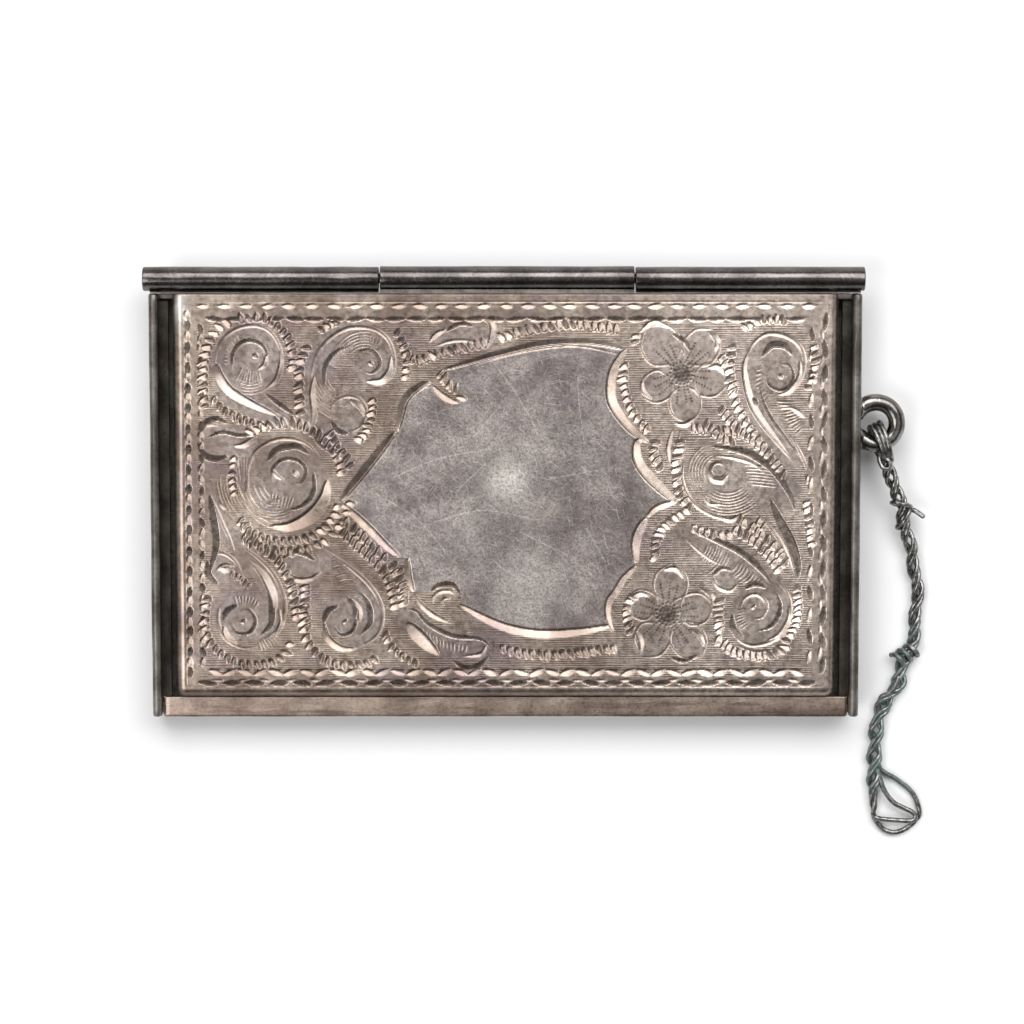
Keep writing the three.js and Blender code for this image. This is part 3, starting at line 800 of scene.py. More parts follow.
RIGHT_EDGE_LOW = [(23.3, 0.8), (22.6, 1.1), (20.5, 3), (18.8, 4.8), (17.8, 6.5), (17.7, 8.5), (18.6, 9.2)]
RIGHT_EDGE_HIGH = [(19.3, 8.8), (17, 10.5), (15, 13), (14.2, 15), (14.4, 18), (15.6, 20.4), (16.3, 21.2)]
TOP_EDGE = [(16.4, 21.2), (13, 22), (10, 22.3), (5, 22), (0, 20.9), (-5, 19.5), (-8.3, 18.5)]
CURL_EDGE = [(-8.3, 18.5), (-7.7, 17.3), (-6.7, 16.1), (-5.4, 14.8), (-6, 14), (-7.5, 14.4), (-10, 16.4)]
LEFT_EDGE_ARC = [(-10.1, 16.9), (-11.5, 16.3), (-13.5, 14.5), (-14.3, 11.5), (-14.5, 10.3)]
LEFT_EDGE = [(-14.9, 10.1), (-18.4, 5.7), (-22.3, 0.8)]
LOW_LEFT_EDGE = [(-22.4, 0.7), (-19, -2.5), (-16, -5.5), (-14.3, -6.8)]
LOW_LEFT_TURN = [(-13.3, -7), (-13.2, -9.5), (-12.5, -11.5)]
SMALL_CURL = [(-10, -11.5), (-9, -10.7), (-7, -10.7), (-6, -12), (-6, -13.5)]
BOTTOM_EDGE = [(-6.2, -13.3), (-5, -14), (-2, -15.6), (1, -16.7), (5, -17.3), (10, -17), (14.4, -16.2)]
LOW_RIGHT_EDGE = [(14.6, -17), (13.9, -15), (14, -13), (15, -11.5), (16, -9.8), (17.7, -8)]
RIGHT_TURN = [(17.7, -7.6), (17.6, -5), (18.2, -3), (19.1, -1.5)]
RIGHT_TIP = [(19.2, -1.4), (20.5, -0.2), (23.3, 0.8)]


CARTOUCHE_SCRATCHES = (
    [(-1.5, 19.3), (1, 16), (3.5, 11.8), (4.6, 9.0)], [(3.8, 20.7), (4.6, 20.2), (5, 19.3)],
    [(-15, 4), (-9, 6.5), (-2, 7.8)], [(9.8, 17.5), (9.9, 14.5), (10.6, 8.5)],
    [(-9.5, -2.0), (-3, -0.5), (4.5, -1.8)], [(2.0, -3.4), (8.4, -6.6)], [(-4.2, 9.5), (-0.8, 13.5)],
    [(-17.5, 1.8), (-12, -1.6), (-8, -6.2)], [(6, 3.8), (12.4, 4.9)], [(9.2, 4.6), (12.6, 2.2)],
    [(10.6, 5.2), (11.5, 3.2)], [(-1, -8), (4, -11.2)], [(11, -3), (13.5, -7.5)],
    [(-6.5, 2.2), (-2.6, 5.9)],
)
EDGE_CUTS = (
    (RIGHT_EDGE_LOW, 1.5), (RIGHT_EDGE_HIGH, 1.4), (TOP_EDGE, 0.95), (LEFT_EDGE_ARC, 1.15),
    (LEFT_EDGE, 1.2), (LOW_LEFT_EDGE, 1.15), (LOW_LEFT_TURN, 1.05), (BOTTOM_EDGE, 1.35),
    (LOW_RIGHT_EDGE, 1.0), (RIGHT_TURN, 1.35), (RIGHT_TIP, 0.9),
)


def draw_cartouche(e):
    outline = (
        RIGHT_EDGE_LOW + RIGHT_EDGE_HIGH + TOP_EDGE + CURL_EDGE + LEFT_EDGE_ARC + LEFT_EDGE + LOW_LEFT_EDGE
        + LOW_LEFT_TURN + SMALL_CURL + BOTTOM_EDGE + LOW_RIGHT_EDGE + RIGHT_TURN + RIGHT_TIP
    )
    e.wash(outline)
    for line, width in EDGE_CUTS:
        e.cut(line, width, lean=1, blunt=0.35, slope=0.24)
    e.cut([(-9.9, 16.5), (-8.6, 15.1), (-7.3, 14.3), (-6.1, 14.0)], 0.95, "B")
    e.cut([(-6.7, 14.9), (-5.9, 14.6), (-5.1, 14.4)], 0.75, "B")
    e.beads([(-9.3, 17.6), (-8.0, 16.0), (-6.2, 14.9)], 1, 0.75, 1.2, 0.55)
    e.cut([(-14.6, 9.7), (-18.1, 5.3), (-22.0, 0.4)], 0.42, "B", blunt=0.2)
    e.cut([(-13.8, 11.6), (-13.0, 14.3), (-11.2, 15.9), (-10.2, 16.3)], 0.36, "B", blunt=0.2)
    e.cut([(15.6, 20.5), (10, 21.6), (5, 21.3), (0, 20.3), (-5, 18.9)], 0.3, "B", blunt=0.2)
    e.cut([(-10.1, -11.6), (-9.1, -10.7), (-7.1, -10.6), (-5.9, -12.1)], 0.8, "D")
    e.cut([(-9.8, -13.3), (-9.7, -12.3), (-8.7, -11.6), (-7.3, -11.6), (-6.5, -12.4)], 0.55, "B")
    e.cut([(-8.4, -13.3), (-8.5, -12.7), (-7.8, -12.4), (-7.4, -12.9)], 0.4, "V")
    e.cut([(-12.3, -11.8), (-11.4, -13.4), (-9.6, -14.9), (-7.3, -15.9)], 0.8, "B")
    e.cut([(15.4, 16), (16.2, 12.9), (18.5, 9.9)], 0.35, "V")
    for line in CARTOUCHE_SCRATCHES:
        e.mark("scratch", line, 0.05, 0.75, 0.1)


def draw_left(e):
    cut, beads, fan, rings, mark = e.cut, e.beads, e.fan, e.rings, e.mark
    # A: upper left scroll
    mark("leaf", [(-34.6, 20)], 4.6)
    mark("leaf", [(-37.5, 16), (-34, 13.6), (-30.5, 12.2)], 1.5)
    cut([(-38.9, 19.2), (-38.5, 17.6), (-37.4, 15.9), (-35.6, 14.6), (-33, 13.3),
        (-30.2, 12.1)], 1.35, "B", head=0.3)
    cut([(-32.4, 15.4), (-30.4, 13.9), (-28.2, 12.3)], 0.7, "D")
    cut([(-38.6, 18.2), (-39, 20), (-38, 22.5), (-36, 24), (-33.5, 24.4), (-31.5, 23.5), (-30.3, 21.5),
        (-30, 19.5), (-30.5, 17.5)], 0.5, "V")
    cut([(-30.3, 21.2), (-30.1, 19.4), (-30.7, 17.2), (-32.2, 15.9)], 0.8, "B")
    cut([(-36.8, 18.4), (-36.6, 20.8), (-35.2, 22.3), (-33.2, 22.2), (-32.1, 20.8), (-32.4, 19.2)], 0.6, "D")
    cut([(-32.1, 20.6), (-32.3, 19.2), (-33.3, 18.4)], 0.7, "B")
    cut([(-33.9, 20.6), (-33.3, 20.1)], 0.8, "V", slope=DOT_SLOPE)
    fan([(-36.5, 16.9), (-34.5, 16.2), (-32.5, 16.2)], [(-35.4, 18.9), (-34.2, 18.3), (-33, 18.3)], 9, 0.3)
    fan([(-37.9, 19.2), (-37.6, 21.6), (-36, 23.3)], [(-37.0, 19.2), (-36.8, 21.1), (-35.6, 22.4)], 9, 0.26)
    beads([(-39.9, 13.4), (-40, 17), (-39.9, 19.3), (-39.3, 21.8), (-38, 23.6), (-36, 24.7)], 1, 1.15)
    beads([(-35.5, 24.7), (-33, 24.9), (-31, 24), (-29.8, 22.5), (-29.1, 20), (-29.6, 17.6)], 1, 1.15, 1.1)
    beads([(-39.2, 15.2), (-37.6, 13.5), (-35, 12.3), (-33, 11.6), (-31, 11.3)], -1, 1.15, 1.15)
    e.hatch((-34.4, 19.6), 2.7, 4.5, 232, 300)
    # B: second scroll
    mark("leaf", [(-25.4, 11), (-25.3, 17), (-24, 21.5), (-20, 23.2), (-17, 22), (-16.2, 19)], 1.9)
    mark("leaf", [(-17.8, 18.8)], 2.6)
    cut([(-25.9, 10.6), (-25.7, 13), (-25.9, 15.2), (-25.7, 17.6)], 1.1, "B")
    cut([(-26.2, 15), (-25.9, 19), (-24.3, 22), (-21.3, 24), (-18, 24), (-15.8, 22.6), (-14.9, 20),
        (-15.3, 17.6), (-17.2, 16.2)], 0.55, "V")
    cut([(-24.4, 15.6), (-24.3, 18.8), (-22.7, 21), (-20.4, 21.8)], 0.6, "D")
    cut([(-15.3, 20.3), (-15.5, 18.2), (-16.7, 16.9), (-18.7, 16.9)], 1.15, "B")
    cut([(-20.2, 20.9), (-17.9, 21), (-16.9, 19.4), (-17.9, 18.1), (-19.1, 18.4)], 0.55, "D")
    cut([(-18.4, 19.5), (-17.7, 19.1)], 0.6, "V", slope=DOT_SLOPE)
    mark("leaf", [(-21.5, 12), (-20.4, 13.4)], 2.4)
    cut([(-23.7, 12.1), (-23.2, 13.9), (-21.4, 14.9), (-19.5, 14.4), (-18.7, 12.8), (-19.4, 10.9),
        (-21.3, 9.9)], 0.5, "V")
    cut([(-20.9, 14.5), (-19.4, 13.6), (-18.8, 12.2)], 0.95, "B")
    cut([(-23.4, 11.6), (-22.5, 10.3), (-21, 9.9)], 0.8, "D")
    cut([(-23.6, 8.0), (-22.9, 7), (-21.7, 6.3)], 0.8, "B")
    cut([(-26.0, 9.9), (-24.9, 8.5), (-23.2, 7.2)], 0.7, "D")
    fan([(-24.1, 13.3), (-23.4, 15.2), (-22.2, 16.5)], [(-22.4, 13.6), (-21.6, 14.8),
        (-20.2, 15.8)], 8, 0.28, bow=0.15)
    fan([(-23.9, 19.5), (-23.0, 21.6), (-21.0, 22.8)], [(-22.6, 18.6), (-21.8, 20.2), (-20.2, 21.1)], 9, 0.28)
    fan([(-20, 23.5), (-18.2, 23.4), (-16.6, 22.3)], [(-19.6, 22.0), (-18.2, 22.0), (-17.2, 21.2)], 7, 0.26)
    beads([(-26.9, 12.6), (-27.1, 16), (-26.9, 19.4), (-25.6, 22.3)], 1, 1.15)
    beads([(-14.1, 16.9), (-13.8, 19.6), (-14.6, 22.4), (-15.6, 23.6)], -1, 1.15, 1.15)
    beads([(-24.6, 23.4), (-21.6, 24.9)], 1, 1.1, 0.9)
    beads([(-17.3, 14.9), (-17.4, 12.3), (-18.3, 9.7), (-19.9, 8.2)], -1, 1.1, 1.15)
    e.hatch((-20.6, 18.3), 3.6, 6.9, 196, 258)
    e.hatch((-18.9, 19.2), 2.4, 4.5, 62, 140)
    # small leaf at the left
    mark("leaf", [(-39.3, 9.0), (-35.2, 8.6)], 1.9)
    cut([(-41.3, 9.8), (-40.4, 11.3), (-38.9, 11.9), (-37.3, 11.3)], 0.85, "D")
    cut([(-40.9, 10.4), (-39.8, 11.0), (-38.5, 10.9)], 0.5, "B")
    cut([(-40.3, 9.3), (-38.2, 10.1), (-35.8, 9.7), (-33.2, 9.9)], 0.6, "D")
    cut([(-36.6, 8.2), (-35.2, 8.3), (-33.4, 9.5)], 0.9, "B")
    cut([(-41.4, 8.6), (-40.6, 7.1), (-39.1, 6.5), (-37.4, 6.9)], 0.95, "D")
    fan([(-37.2, 7.0), (-35.6, 6.6), (-34.2, 6.6)], [(-36.4, 2.8), (-35.5, 3.0), (-34.8, 3.6)], 7, 0.28)
    cut([(-38.7, 0.9), (-38.3, 0.1), (-37.2, -0.7)], 0.65, "B")
    # C: disc with its crescent
    mark("leaf", [(-29.3, 3.5)], 5.2)
    cut([(-24.0, 3.6), (-24.5, 1.0), (-26.3, -1.3), (-29.1, -2.7), (-31.9, -2.7)], 1.9, "B", head=0.45)
    cut([(-34.6, 4.8), (-34.0, 7), (-31.9, 8.7), (-29.3, 9.2), (-26.6, 8.4), (-24.7, 6.2)], 0.55, "V")
    cut([(-32.2, 6.1), (-30.7, 7.8), (-28.2, 8.2), (-26.3, 7.1)], 1.0, "D")
    cut([(-34.7, 4.9), (-34.8, 1.8), (-33.4, -0.8)], 0.55, "V")
    cut([(-25.9, 4.8), (-25.9, 2.2), (-27.2, 0.3), (-29.3, -0.5)], 0.65, "D")
    cut([(-31.5, 3.3), (-31.4, 5.1), (-30.0, 6.4), (-28, 6.3), (-26.9, 4.9), (-27.5, 3.3),
        (-28.9, 3.2)], 0.55, "D")
    cut([(-31.5, 5.3), (-31.0, 4.2), (-29.9, 3.6)], 0.6, "B")
    cut([(-28.6, 5.0), (-27.9, 4.1)], 0.75, "B")
    rings((-29.3, 3.8), (3.6, 4.2, 4.8), 190, 262, 0.3)
    rings((-29.2, 3.8), (5.8, 6.4, 7.0), 196, 268, 0.32)
    fan([(-31.6, 2.1), (-30.1, 1.3), (-28.3, 1.4)], [(-31.9, 0.2), (-30.4, -0.4), (-29.0, -0.2)], 7, 0.28)
    beads([(-35.6, -1.8), (-33.2, -3.4), (-30, -4.1), (-26.4, -3.5), (-23.9, -1.4),
        (-22.9, 0.8)], -1, 1.1, rows=2)
    beads([(-34.2, 9.4), (-31.5, 10.5), (-28.2, 10.5), (-25.4, 9.0), (-23.2, 6.4), (-22.5, 3.4)], 1, 1.1)
    beads([(-24.2, 9.6), (-22.2, 6.6), (-21.2, 4.2)], 1, 1.1, 1.1)
    beads([(-36.0, 7.0), (-36.3, 4.0), (-35.8, 1.0)], -1, 1.15, 1.0)
    e.hatch((-31.2, 3.4), 2.4, 5.4, 236, 300)
    e.hatch((-31.5, 3.5), 4.6, 7.6, 176, 222)
    # D: lower left scroll
    mark("leaf", [(-40, 5), (-39.4, 0), (-38.3, -3), (-35, -6.5), (-32.2, -10.5), (-31.5, -15),
        (-33, -17.6)], 1.25)
    mark("leaf", [(-35.4, -14.8)], 3.3)
    cut([(-39.9, 1.6), (-39.4, -2), (-39.1, -5), (-39.7, -7.6), (-40.3, -9.4)], 0.95, "D", head=0.4)
    cut([(-39.6, 1.2), (-38.2, -2.4), (-37.2, -4.6), (-36.6, -6.4)], 0.5, "V")
    cut([(-38.9, -8.2), (-37.9, -8.6), (-36.8, -8.3)], 0.95, "B")
    cut([(-36.4, -5.0), (-33.9, -6.6), (-31.5, -9.0), (-30.1, -12), (-29.9, -14.3), (-30.8, -16.6),
        (-33.0, -18.3)], 0.6, "V")
    cut([(-34.8, -7.2), (-32.7, -9.4), (-31.4, -12.2), (-31.2, -14.4)], 1.15, "B", head=0.6)
    cut([(-32.2, -11.2), (-31.7, -13.4), (-31.8, -15.9), (-33.3, -17.6)], 0.8, "D")
    cut([(-30.6, -14.0), (-30.3, -15.8), (-31.2, -17.6)], 0.75, "B")
    cut([(-38.7, -13.4), (-38.9, -15.8), (-37.9, -18), (-35.7, -19.2), (-33.6, -19.1)], 0.55, "V")
    cut([(-38.2, -16.2), (-37.7, -17.7), (-36.3, -18.8)], 0.95, "B")
    cut([(-38.3, -15.5), (-37.7, -14.1), (-36.2, -13.3)], 0.8, "D")
    cut([(-37.2, -15.7), (-36.4, -17.1), (-34.7, -17.1), (-33.9, -15.6), (-34.7, -14.1),
        (-36.1, -14.2)], 0.5, "D")
    cut([(-35.8, -15.9), (-35.2, -15.3)], 0.6, "V", slope=DOT_SLOPE)
    fan([(-36.9, -12.2), (-34.7, -12.1), (-33.1, -13)], [(-36.4, -13.4), (-35, -13.2),
        (-33.9, -13.9)], 8, 0.28)
    fan([(-33.2, -19.9), (-31.4, -19.1), (-30.4, -17.9)], [(-33.6, -18.3), (-32.4, -17.7),
        (-31.9, -16.9)], 7, 0.28)
    mark("leaf", [(-38, -8.2)], 2.0)
    cut([(-40.3, -7.2), (-40.2, -9.2), (-38.9, -10.6)], 0.85, "D")
    cut([(-39.1, -8.7), (-38, -8.1), (-36.6, -8.2)], 0.75, "B")
    cut([(-40, -6.9), (-38.4, -6.3), (-36.6, -7.4), (-35.6, -9.3)], 0.5, "V")
    fan([(-41, -11.5), (-41, -19.5)], [(-40.0, -11.3), (-40.0, -19.2)], 15, 0.3)
    beads([(-39.7, -12.0), (-40.1, -15.6), (-39.4, -18.3), (-37.1, -20.3), (-34.2, -20.9), (-31.0, -20.2),
        (-29.3, -17.9)], -1, 1.15)
    beads([(-37.1, -8.4), (-35.3, -9.6), (-33.9, -11.0)], -1, 1.0, 0.9, 0.5)
    beads([(-36.3, -2.2), (-34.2, -5.2), (-31.3, -7.7), (-29.8, -10.4), (-29.0, -13.6),
        (-28.9, -16.2)], 1, 1.15)
    # E: scroll at the left of the small curl
    mark("leaf", [(-24.5, -6.2), (-21, -9), (-18.7, -11.6), (-17.7, -14), (-18, -16.8), (-20.2, -18.3)], 1.25)
    mark("leaf", [(-21.9, -14.8)], 2.9)
    cut([(-25.2, -5.4), (-21, -8.3), (-18.3, -10.8), (-16.8, -13.5), (-16.8, -16.2), (-17.9, -18),
        (-20, -19.1)], 0.6, "V")
    cut([(-19.6, -11.6), (-18.5, -13.6), (-18.4, -15.8), (-19.6, -17.4)], 0.8, "D")
    cut([(-24.6, -15.7), (-24.2, -17.8), (-22.4, -19.3), (-20.2, -19.4)], 1.0, "B")
    cut([(-24.7, -15.8), (-24.1, -14.2), (-22.6, -13.4)], 0.8, "D")
    cut([(-23.3, -16.2), (-22.3, -17.4), (-20.9, -17.0), (-20.3, -15.5), (-21.3, -14.3)], 0.5, "D")
    cut([(-21.5, -12.2), (-20.5, -13.6), (-20.4, -15.3)], 0.7, "D")
    cut([(-20.6, -12.7), (-19.7, -14.2), (-19.8, -15.8)], 0.65, "B")
    cut([(-22.0, -15.9), (-21.4, -15.3)], 0.55, "V", slope=DOT_SLOPE)
    fan([(-23.6, -7.0), (-23.3, -9.0), (-22.8, -11.0)], [(-22.6, -6.9), (-20.7, -8.9),
        (-19.3, -10.8)], 12, 0.3, bow=0.08)
    mark("leaf", [(-28.6, -8), (-26.0, -8.4)], 1.7)
    cut([(-30.1, -7.1), (-28.9, -6.1), (-27.2, -6.3), (-25.6, -7.4)], 0.85, "D")
    cut([(-29.8, -8.6), (-28.4, -9.9), (-26.4, -9.9), (-24.9, -8.9)], 0.75, "B")
    beads([(-27.7, -10.9), (-27.9, -14.5), (-27.2, -17.6)], 1, 1.1)
    beads([(-26.4, -13.1), (-26.7, -16.5), (-25.4, -19.3), (-22.7, -20.9), (-19.6, -20.9),
        (-17.3, -19.9)], -1, 1.15)
    beads([(-22.6, -3.8), (-19.9, -6.3), (-17.2, -8.9), (-15.9, -11.7), (-15.5, -14.8)], 1, 1.1, rows=2)
    beads([(-14.9, -8.7), (-14.3, -11.6), (-14.0, -13.8)], 1, 1.1, 1.1)
    # F: leaf along the bottom
    mark("leaf", [(-13, -15.4), (-9.5, -18), (-3.4, -19.4)], 1.7)
    cut([(-13.4, -15.8), (-12.0, -17.4), (-10.6, -18.8), (-9.0, -20.2)], 1.9, "B", head=0.42)
    cut([(-13.7, -13.8), (-12, -14.2), (-10.4, -15.9), (-7.2, -17.5), (-3.4, -18.0), (-1.6, -19.4)], 0.7, "D")
    cut([(-7.2, -20.8), (-5.5, -21.9), (-3.8, -21.7), (-2.3, -20.4)], 0.85, "D")
    cut([(-2.5, -18.7), (-3.3, -20.1), (-5.7, -20.4)], 0.6, "B")
    fan([(-11.6, -16.4), (-8.2, -18.3), (-5, -18.9)], [(-11, -17.5), (-8.2, -19.5), (-5.2, -20.0)], 13, 0.26)
    beads([(-0.9, -18.6), (3, -19.4), (7.6, -19.5), (12, -18.9), (15.6, -18.6)], -1, 1.2, 1.25)
    beads([(-16.1, -16.6), (-14.6, -19.2), (-11.4, -21.3)], -1, 1.1, 1.1)
    # leaf above the cartouche
    mark("leaf", [(-8.4, 23.2), (-4.6, 23.2), (-2.8, 22.6)], 1.4)
    cut([(-10.2, 22.1), (-9.2, 23.2), (-7.8, 23.9)], 0.75, "B")
    cut([(-8.0, 23.6), (-6.2, 24.7), (-4.2, 24.4)], 0.7, "D")
    cut([(-4.1, 25.2), (-2.6, 25.4), (-1.7, 24.4), (-1.8, 22.8), (-2.4, 21.5)], 0.9, "B")
    cut([(-9.6, 21.6), (-7, 22.4), (-4.5, 22.3), (-3.0, 21.5)], 0.55, "V")
    beads([(-13.4, 20.7), (-11.9, 19.7), (-9.8, 20.4), (-6.4, 21.3), (-2.0, 22.3)], 0, 1.1, 1.15)
    beads([(-0.4, 22.2), (3.5, 23.2), (8, 23.9), (12, 23.7), (15.9, 22.9)], 1, 1.15, 1.2)


def flower(e, centre, petals, lights):
    """Petals with an outline, bright tips and stipple lines that run out from the centre."""
    centre = np.array(centre, float)
    for (px, py), size in petals:
        tip = np.array([px, py], float)
        out = tip - centre
        reach = np.linalg.norm(out)
        out /= reach
        side = np.array([-out[1], out[0]])
        e.mark("leaf", [centre + out * 1.6, tip], size * 0.82)
        outline = [
            centre + out * 1.7 + side * 0.35,
            centre + out * (0.62 * reach) + side * size * 0.92,
            tip + out * 0.25 * size + side * size * 0.86,
            tip + out * 0.92 * size + side * 0.1,
            tip + out * 0.25 * size - side * size * 0.86,
            centre + out * (0.62 * reach) - side * size * 0.92,
            centre + out * 1.7 - side * 0.35,
        ]
        e.cut(outline[:4], 0.36, "V", blunt=0.3)
        e.cut(outline[3:], 0.36, "V", blunt=0.3)
        e.mark("grime", [centre + out * 2.0, tip - out * 0.2], size * 0.42, 0.34, 1.2)
        for k in (-0.8 + rng.uniform(-0.15, 0.15), rng.uniform(-0.15, 0.15), 0.8 + rng.uniform(-0.15, 0.15)):
            start = centre + out * 1.8 + side * k * 0.8
            for step in np.arange(0, reach * rng.uniform(0.4, 0.62), 0.42):
                spot = start + out * step + side * k * 0.3 * step
                e.mark("grime", [spot], 0.17, 1.0, 0.1)
    for line, width, tone in lights:
        e.cut(line, width, tone)
    e.mark("grime", [centre], 1.5, 0.95, 1.0)
    for radius, count in ((0.55, 6), (1.05, 12), (1.5, 17)):
        for i in range(count):
            angle = 2 * math.pi * (i + 0.3 * radius) / count
            spot = centre + radius * unit(angle)
            e.cut([spot - (0.16, 0.06), spot + (0.16, 0.06)], 0.36, "D", slope=0.42, step=0.08)


def draw_flowers(e):
    flower(
        e, (23.7, 18.0),
        (((20.5, 22.4), 2.7), ((26.8, 22.1), 2.4), ((28.0, 16.9), 2.2), ((24.3, 13.2), 2.1),
        ((19.9, 15.9), 2.1)),
        (
            ([(18.1, 23.5), (19.9, 24.8), (22.3, 24.1)], 0.85, "B"), ([(27.4, 23.6), (28.6, 22.3),
            (28.2, 20.9)], 0.8, "B"),
            ([(27.2, 18.7), (28.6, 18.8), (29.9, 17.6)], 0.8, "B"), ([(22.8, 11.3), (24.2, 11.0),
            (25.8, 12.1)], 0.8, "B"),
            ([(18.4, 17.2), (18.6, 15.6), (19.9, 14.5)], 0.7, "B"), ([(22.4, 23.4), (24.2, 22.3),
            (24.9, 20.9)], 0.7, "D"),
        ),
    )
    flower(
        e, (22, -14.6),
        (((22.4, -9.8), 2.3), ((26.3, -13.8), 2.2), ((25.3, -18.8), 2.3), ((19.5, -18.6), 2.4),
        ((18.0, -13.1), 2.0)),
        (
            ([(21.3, -8.6), (23.0, -8.5), (24.2, -9.8)], 0.8, "B"), ([(26.3, -10.9), (28.0, -12.2),
            (28.2, -14.0)], 0.75, "B"),
            ([(25.1, -16.6), (26.5, -17.6), (27.2, -19.2)], 0.85, "B"), ([(17.4, -16.6), (18.4, -18.2),
            (18.4, -20.0)], 0.8, "B"),
            ([(16.5, -12.9), (18.2, -11.9), (19.6, -12.2)], 0.8, "B"), ([(22.4, -20.5), (24.2, -20.9),
            (26.1, -20.2)], 0.7, "D"),
        ),
    )
    e.cut([(22.6, 10.6), (22.0, 8.0), (22.2, 5.2)], 0.65, "B")
    e.cut([(23.6, 10.4), (23.1, 8.0), (23.2, 5.8)], 0.4, "V")


def draw_right(e):
    cut, beads, fan, rings, mark = e.cut, e.beads, e.fan, e.rings, e.mark
    # G: upper right scroll
    mark("leaf", [(38.5, 6.5), (35.6, 10.6), (33.8, 14), (33.2, 18.5), (35, 21.3), (38, 21.3),
        (39.2, 18.6)], 1.5)
    mark("leaf", [(36.9, 17.8)], 2.8)
    cut([(38.9, 6.0), (36.9, 8.6), (35.1, 10.9), (33.5, 13.4), (32.6, 16), (32.2, 19),
        (33.0, 21.5)], 1.05, "B", head=0.55)
    cut([(39.8, 6.6), (37.7, 9.4), (36.0, 11.7), (34.7, 14.2), (34.0, 17)], 0.5, "D")
    cut([(32.3, 19.2), (33.2, 21.8), (35.2, 23.3), (38, 22.9), (40, 21), (40.1, 18), (38.7, 15.9)], 0.6, "V")
    cut([(34.4, 20.2), (35.8, 21.8), (37.6, 21.7), (38.7, 20.4)], 1.0, "D")
    cut([(39.6, 19.9), (39.7, 17.6), (38.3, 15.6), (36.5, 15.0)], 0.9, "B")
    cut([(35.1, 18.4), (35.6, 16.4), (37.4, 15.8), (38.7, 17.1), (38.3, 18.9), (36.8, 19.3)], 0.5, "D")
    cut([(36.8, 17.9), (37.4, 17.3)], 0.6, "V", slope=DOT_SLOPE)
    cut([(33.2, 14.7), (33.9, 13.6)], 0.9, "D")
    fan([(36.4, 14.4), (37.6, 11.8), (39.2, 9.4)], [(38.8, 14.2), (39.6, 12.2), (40.2, 10.6)], 11, 0.3)
    fan([(34.6, 18.8), (34.6, 16.4), (35.6, 14.6)], [(33.6, 18.6), (33.8, 15.8), (34.9, 13.6)], 9, 0.26)
    cut([(38.0, 13.5), (39.2, 12.9), (40.4, 12.0)], 0.75, "B")
    cut([(38.4, 9.8), (40.0, 6.8), (41.0, 4.3)], 0.5, "V")
    cut([(40.7, 4.3), (41.0, 3.0)], 0.7, "B")
    beads([(31.2, 22.0), (30.8, 18.6), (31.2, 15.6), (32.6, 12.2), (34.5, 9.4), (36.4, 7.2)], -1, 1.15, 1.2)
    beads([(32.2, 23.6), (35.0, 24.7), (38.4, 24.4)], 1, 1.1, 1.0)
    beads([(41.0, 21.6), (41.1, 18.4), (40.0, 15.2)], 1, 1.1, 1.0)
    beads([(28.9, 13.4), (31.0, 10.8), (33.4, 9.0), (35.6, 6.8), (38.0, 3.6)], 0, 1.05, 1.15)
    beads([(28.6, 19.8), (29.8, 17.2), (30.2, 14.4)], 1, 1.05, 1.15)
    beads([(26.8, 11.4), (29.0, 9.4), (31.4, 8.6)], 0, 1.05, 1.15)
    # H: middle scroll
    mark("leaf", [(29.6, 3.4), (33.5, 4.6), (36.8, 1.8)], 2.9)
    cut([(27.6, 8.2), (30.2, 7.9), (33, 7.2), (36, 5.2), (38.3, 2), (39.2, -0.6)], 1.05, "D", head=0.5)
    cut([(28.2, 6.9), (31, 6.5), (33.6, 5.6), (35.6, 3.9)], 0.5, "B")
    rings((28.7, 4.9), (1.1,), 40, 330, 0.55, "D")
    cut([(27.2, 4.9), (28.0, 3.6), (29.3, 3.4), (30.1, 4.4)], 0.75, "B")
    cut([(24.1, 6.6), (23.9, 3.6), (25.1, 0.9), (27.4, -0.9), (30.2, -1.7), (32.1, -0.7)], 0.6, "V")
    cut([(26.6, 1.7), (27.6, 0.3), (29.5, 0.3)], 0.6, "B")
    cut([(28.2, -1.1), (30.4, -1.9), (32.0, -0.9)], 0.7, "B")
    e.hatch((28.9, 4.6), 2.2, 4.6, 120, 225)
    e.hatch((29.9, 5.0), 3.2, 6.8, 232, 318)
    for i in range(7):
        y = 5.6 - 0.42 * i
        cut([(32.2 + 0.1 * i, y), (34.2, y - 0.1),
            (35.9 + 0.16 * i, y - 0.4)], 0.27, "V", slope=0.3, blunt=0.3)
    beads([(22.9, 8.9), (22.4, 5.4), (23.0, 1.6), (24.9, -1.4)], 1, 1.1, 1.2)
    beads([(25.2, 9.9), (28.4, 9.8), (31.6, 9.2), (34.9, 7.6)], 1, 1.1, 1.1)
    beads([(25.2, -2.2), (28.2, -3.2), (30.8, -3.2)], -1, 1.1, 1.1)
    # stem down to I
    cut([(35.6, 1.2), (36.9, -1.6), (38.6, -4.9), (39.5, -7.6), (39.6, -9.8)], 1.35, "D", head=0.5)
    cut([(33.6, -0.6), (36.3, -3.3), (38.1, -6.4), (39.2, -10.0)], 0.6, "B")
    beads([(30.6, -3.6), (33.2, -5.2), (35.4, -7.4), (36.9, -9.8)], 1, 1.05, 1.2, rows=2)
    beads([(34.0, -1.8), (35.6, -3.4)], 0, 1.05, 1.0)
    beads([(40.2, 0.6), (40.6, -3.0), (40.9, -6.4)], 1, 1.15, 1.0)
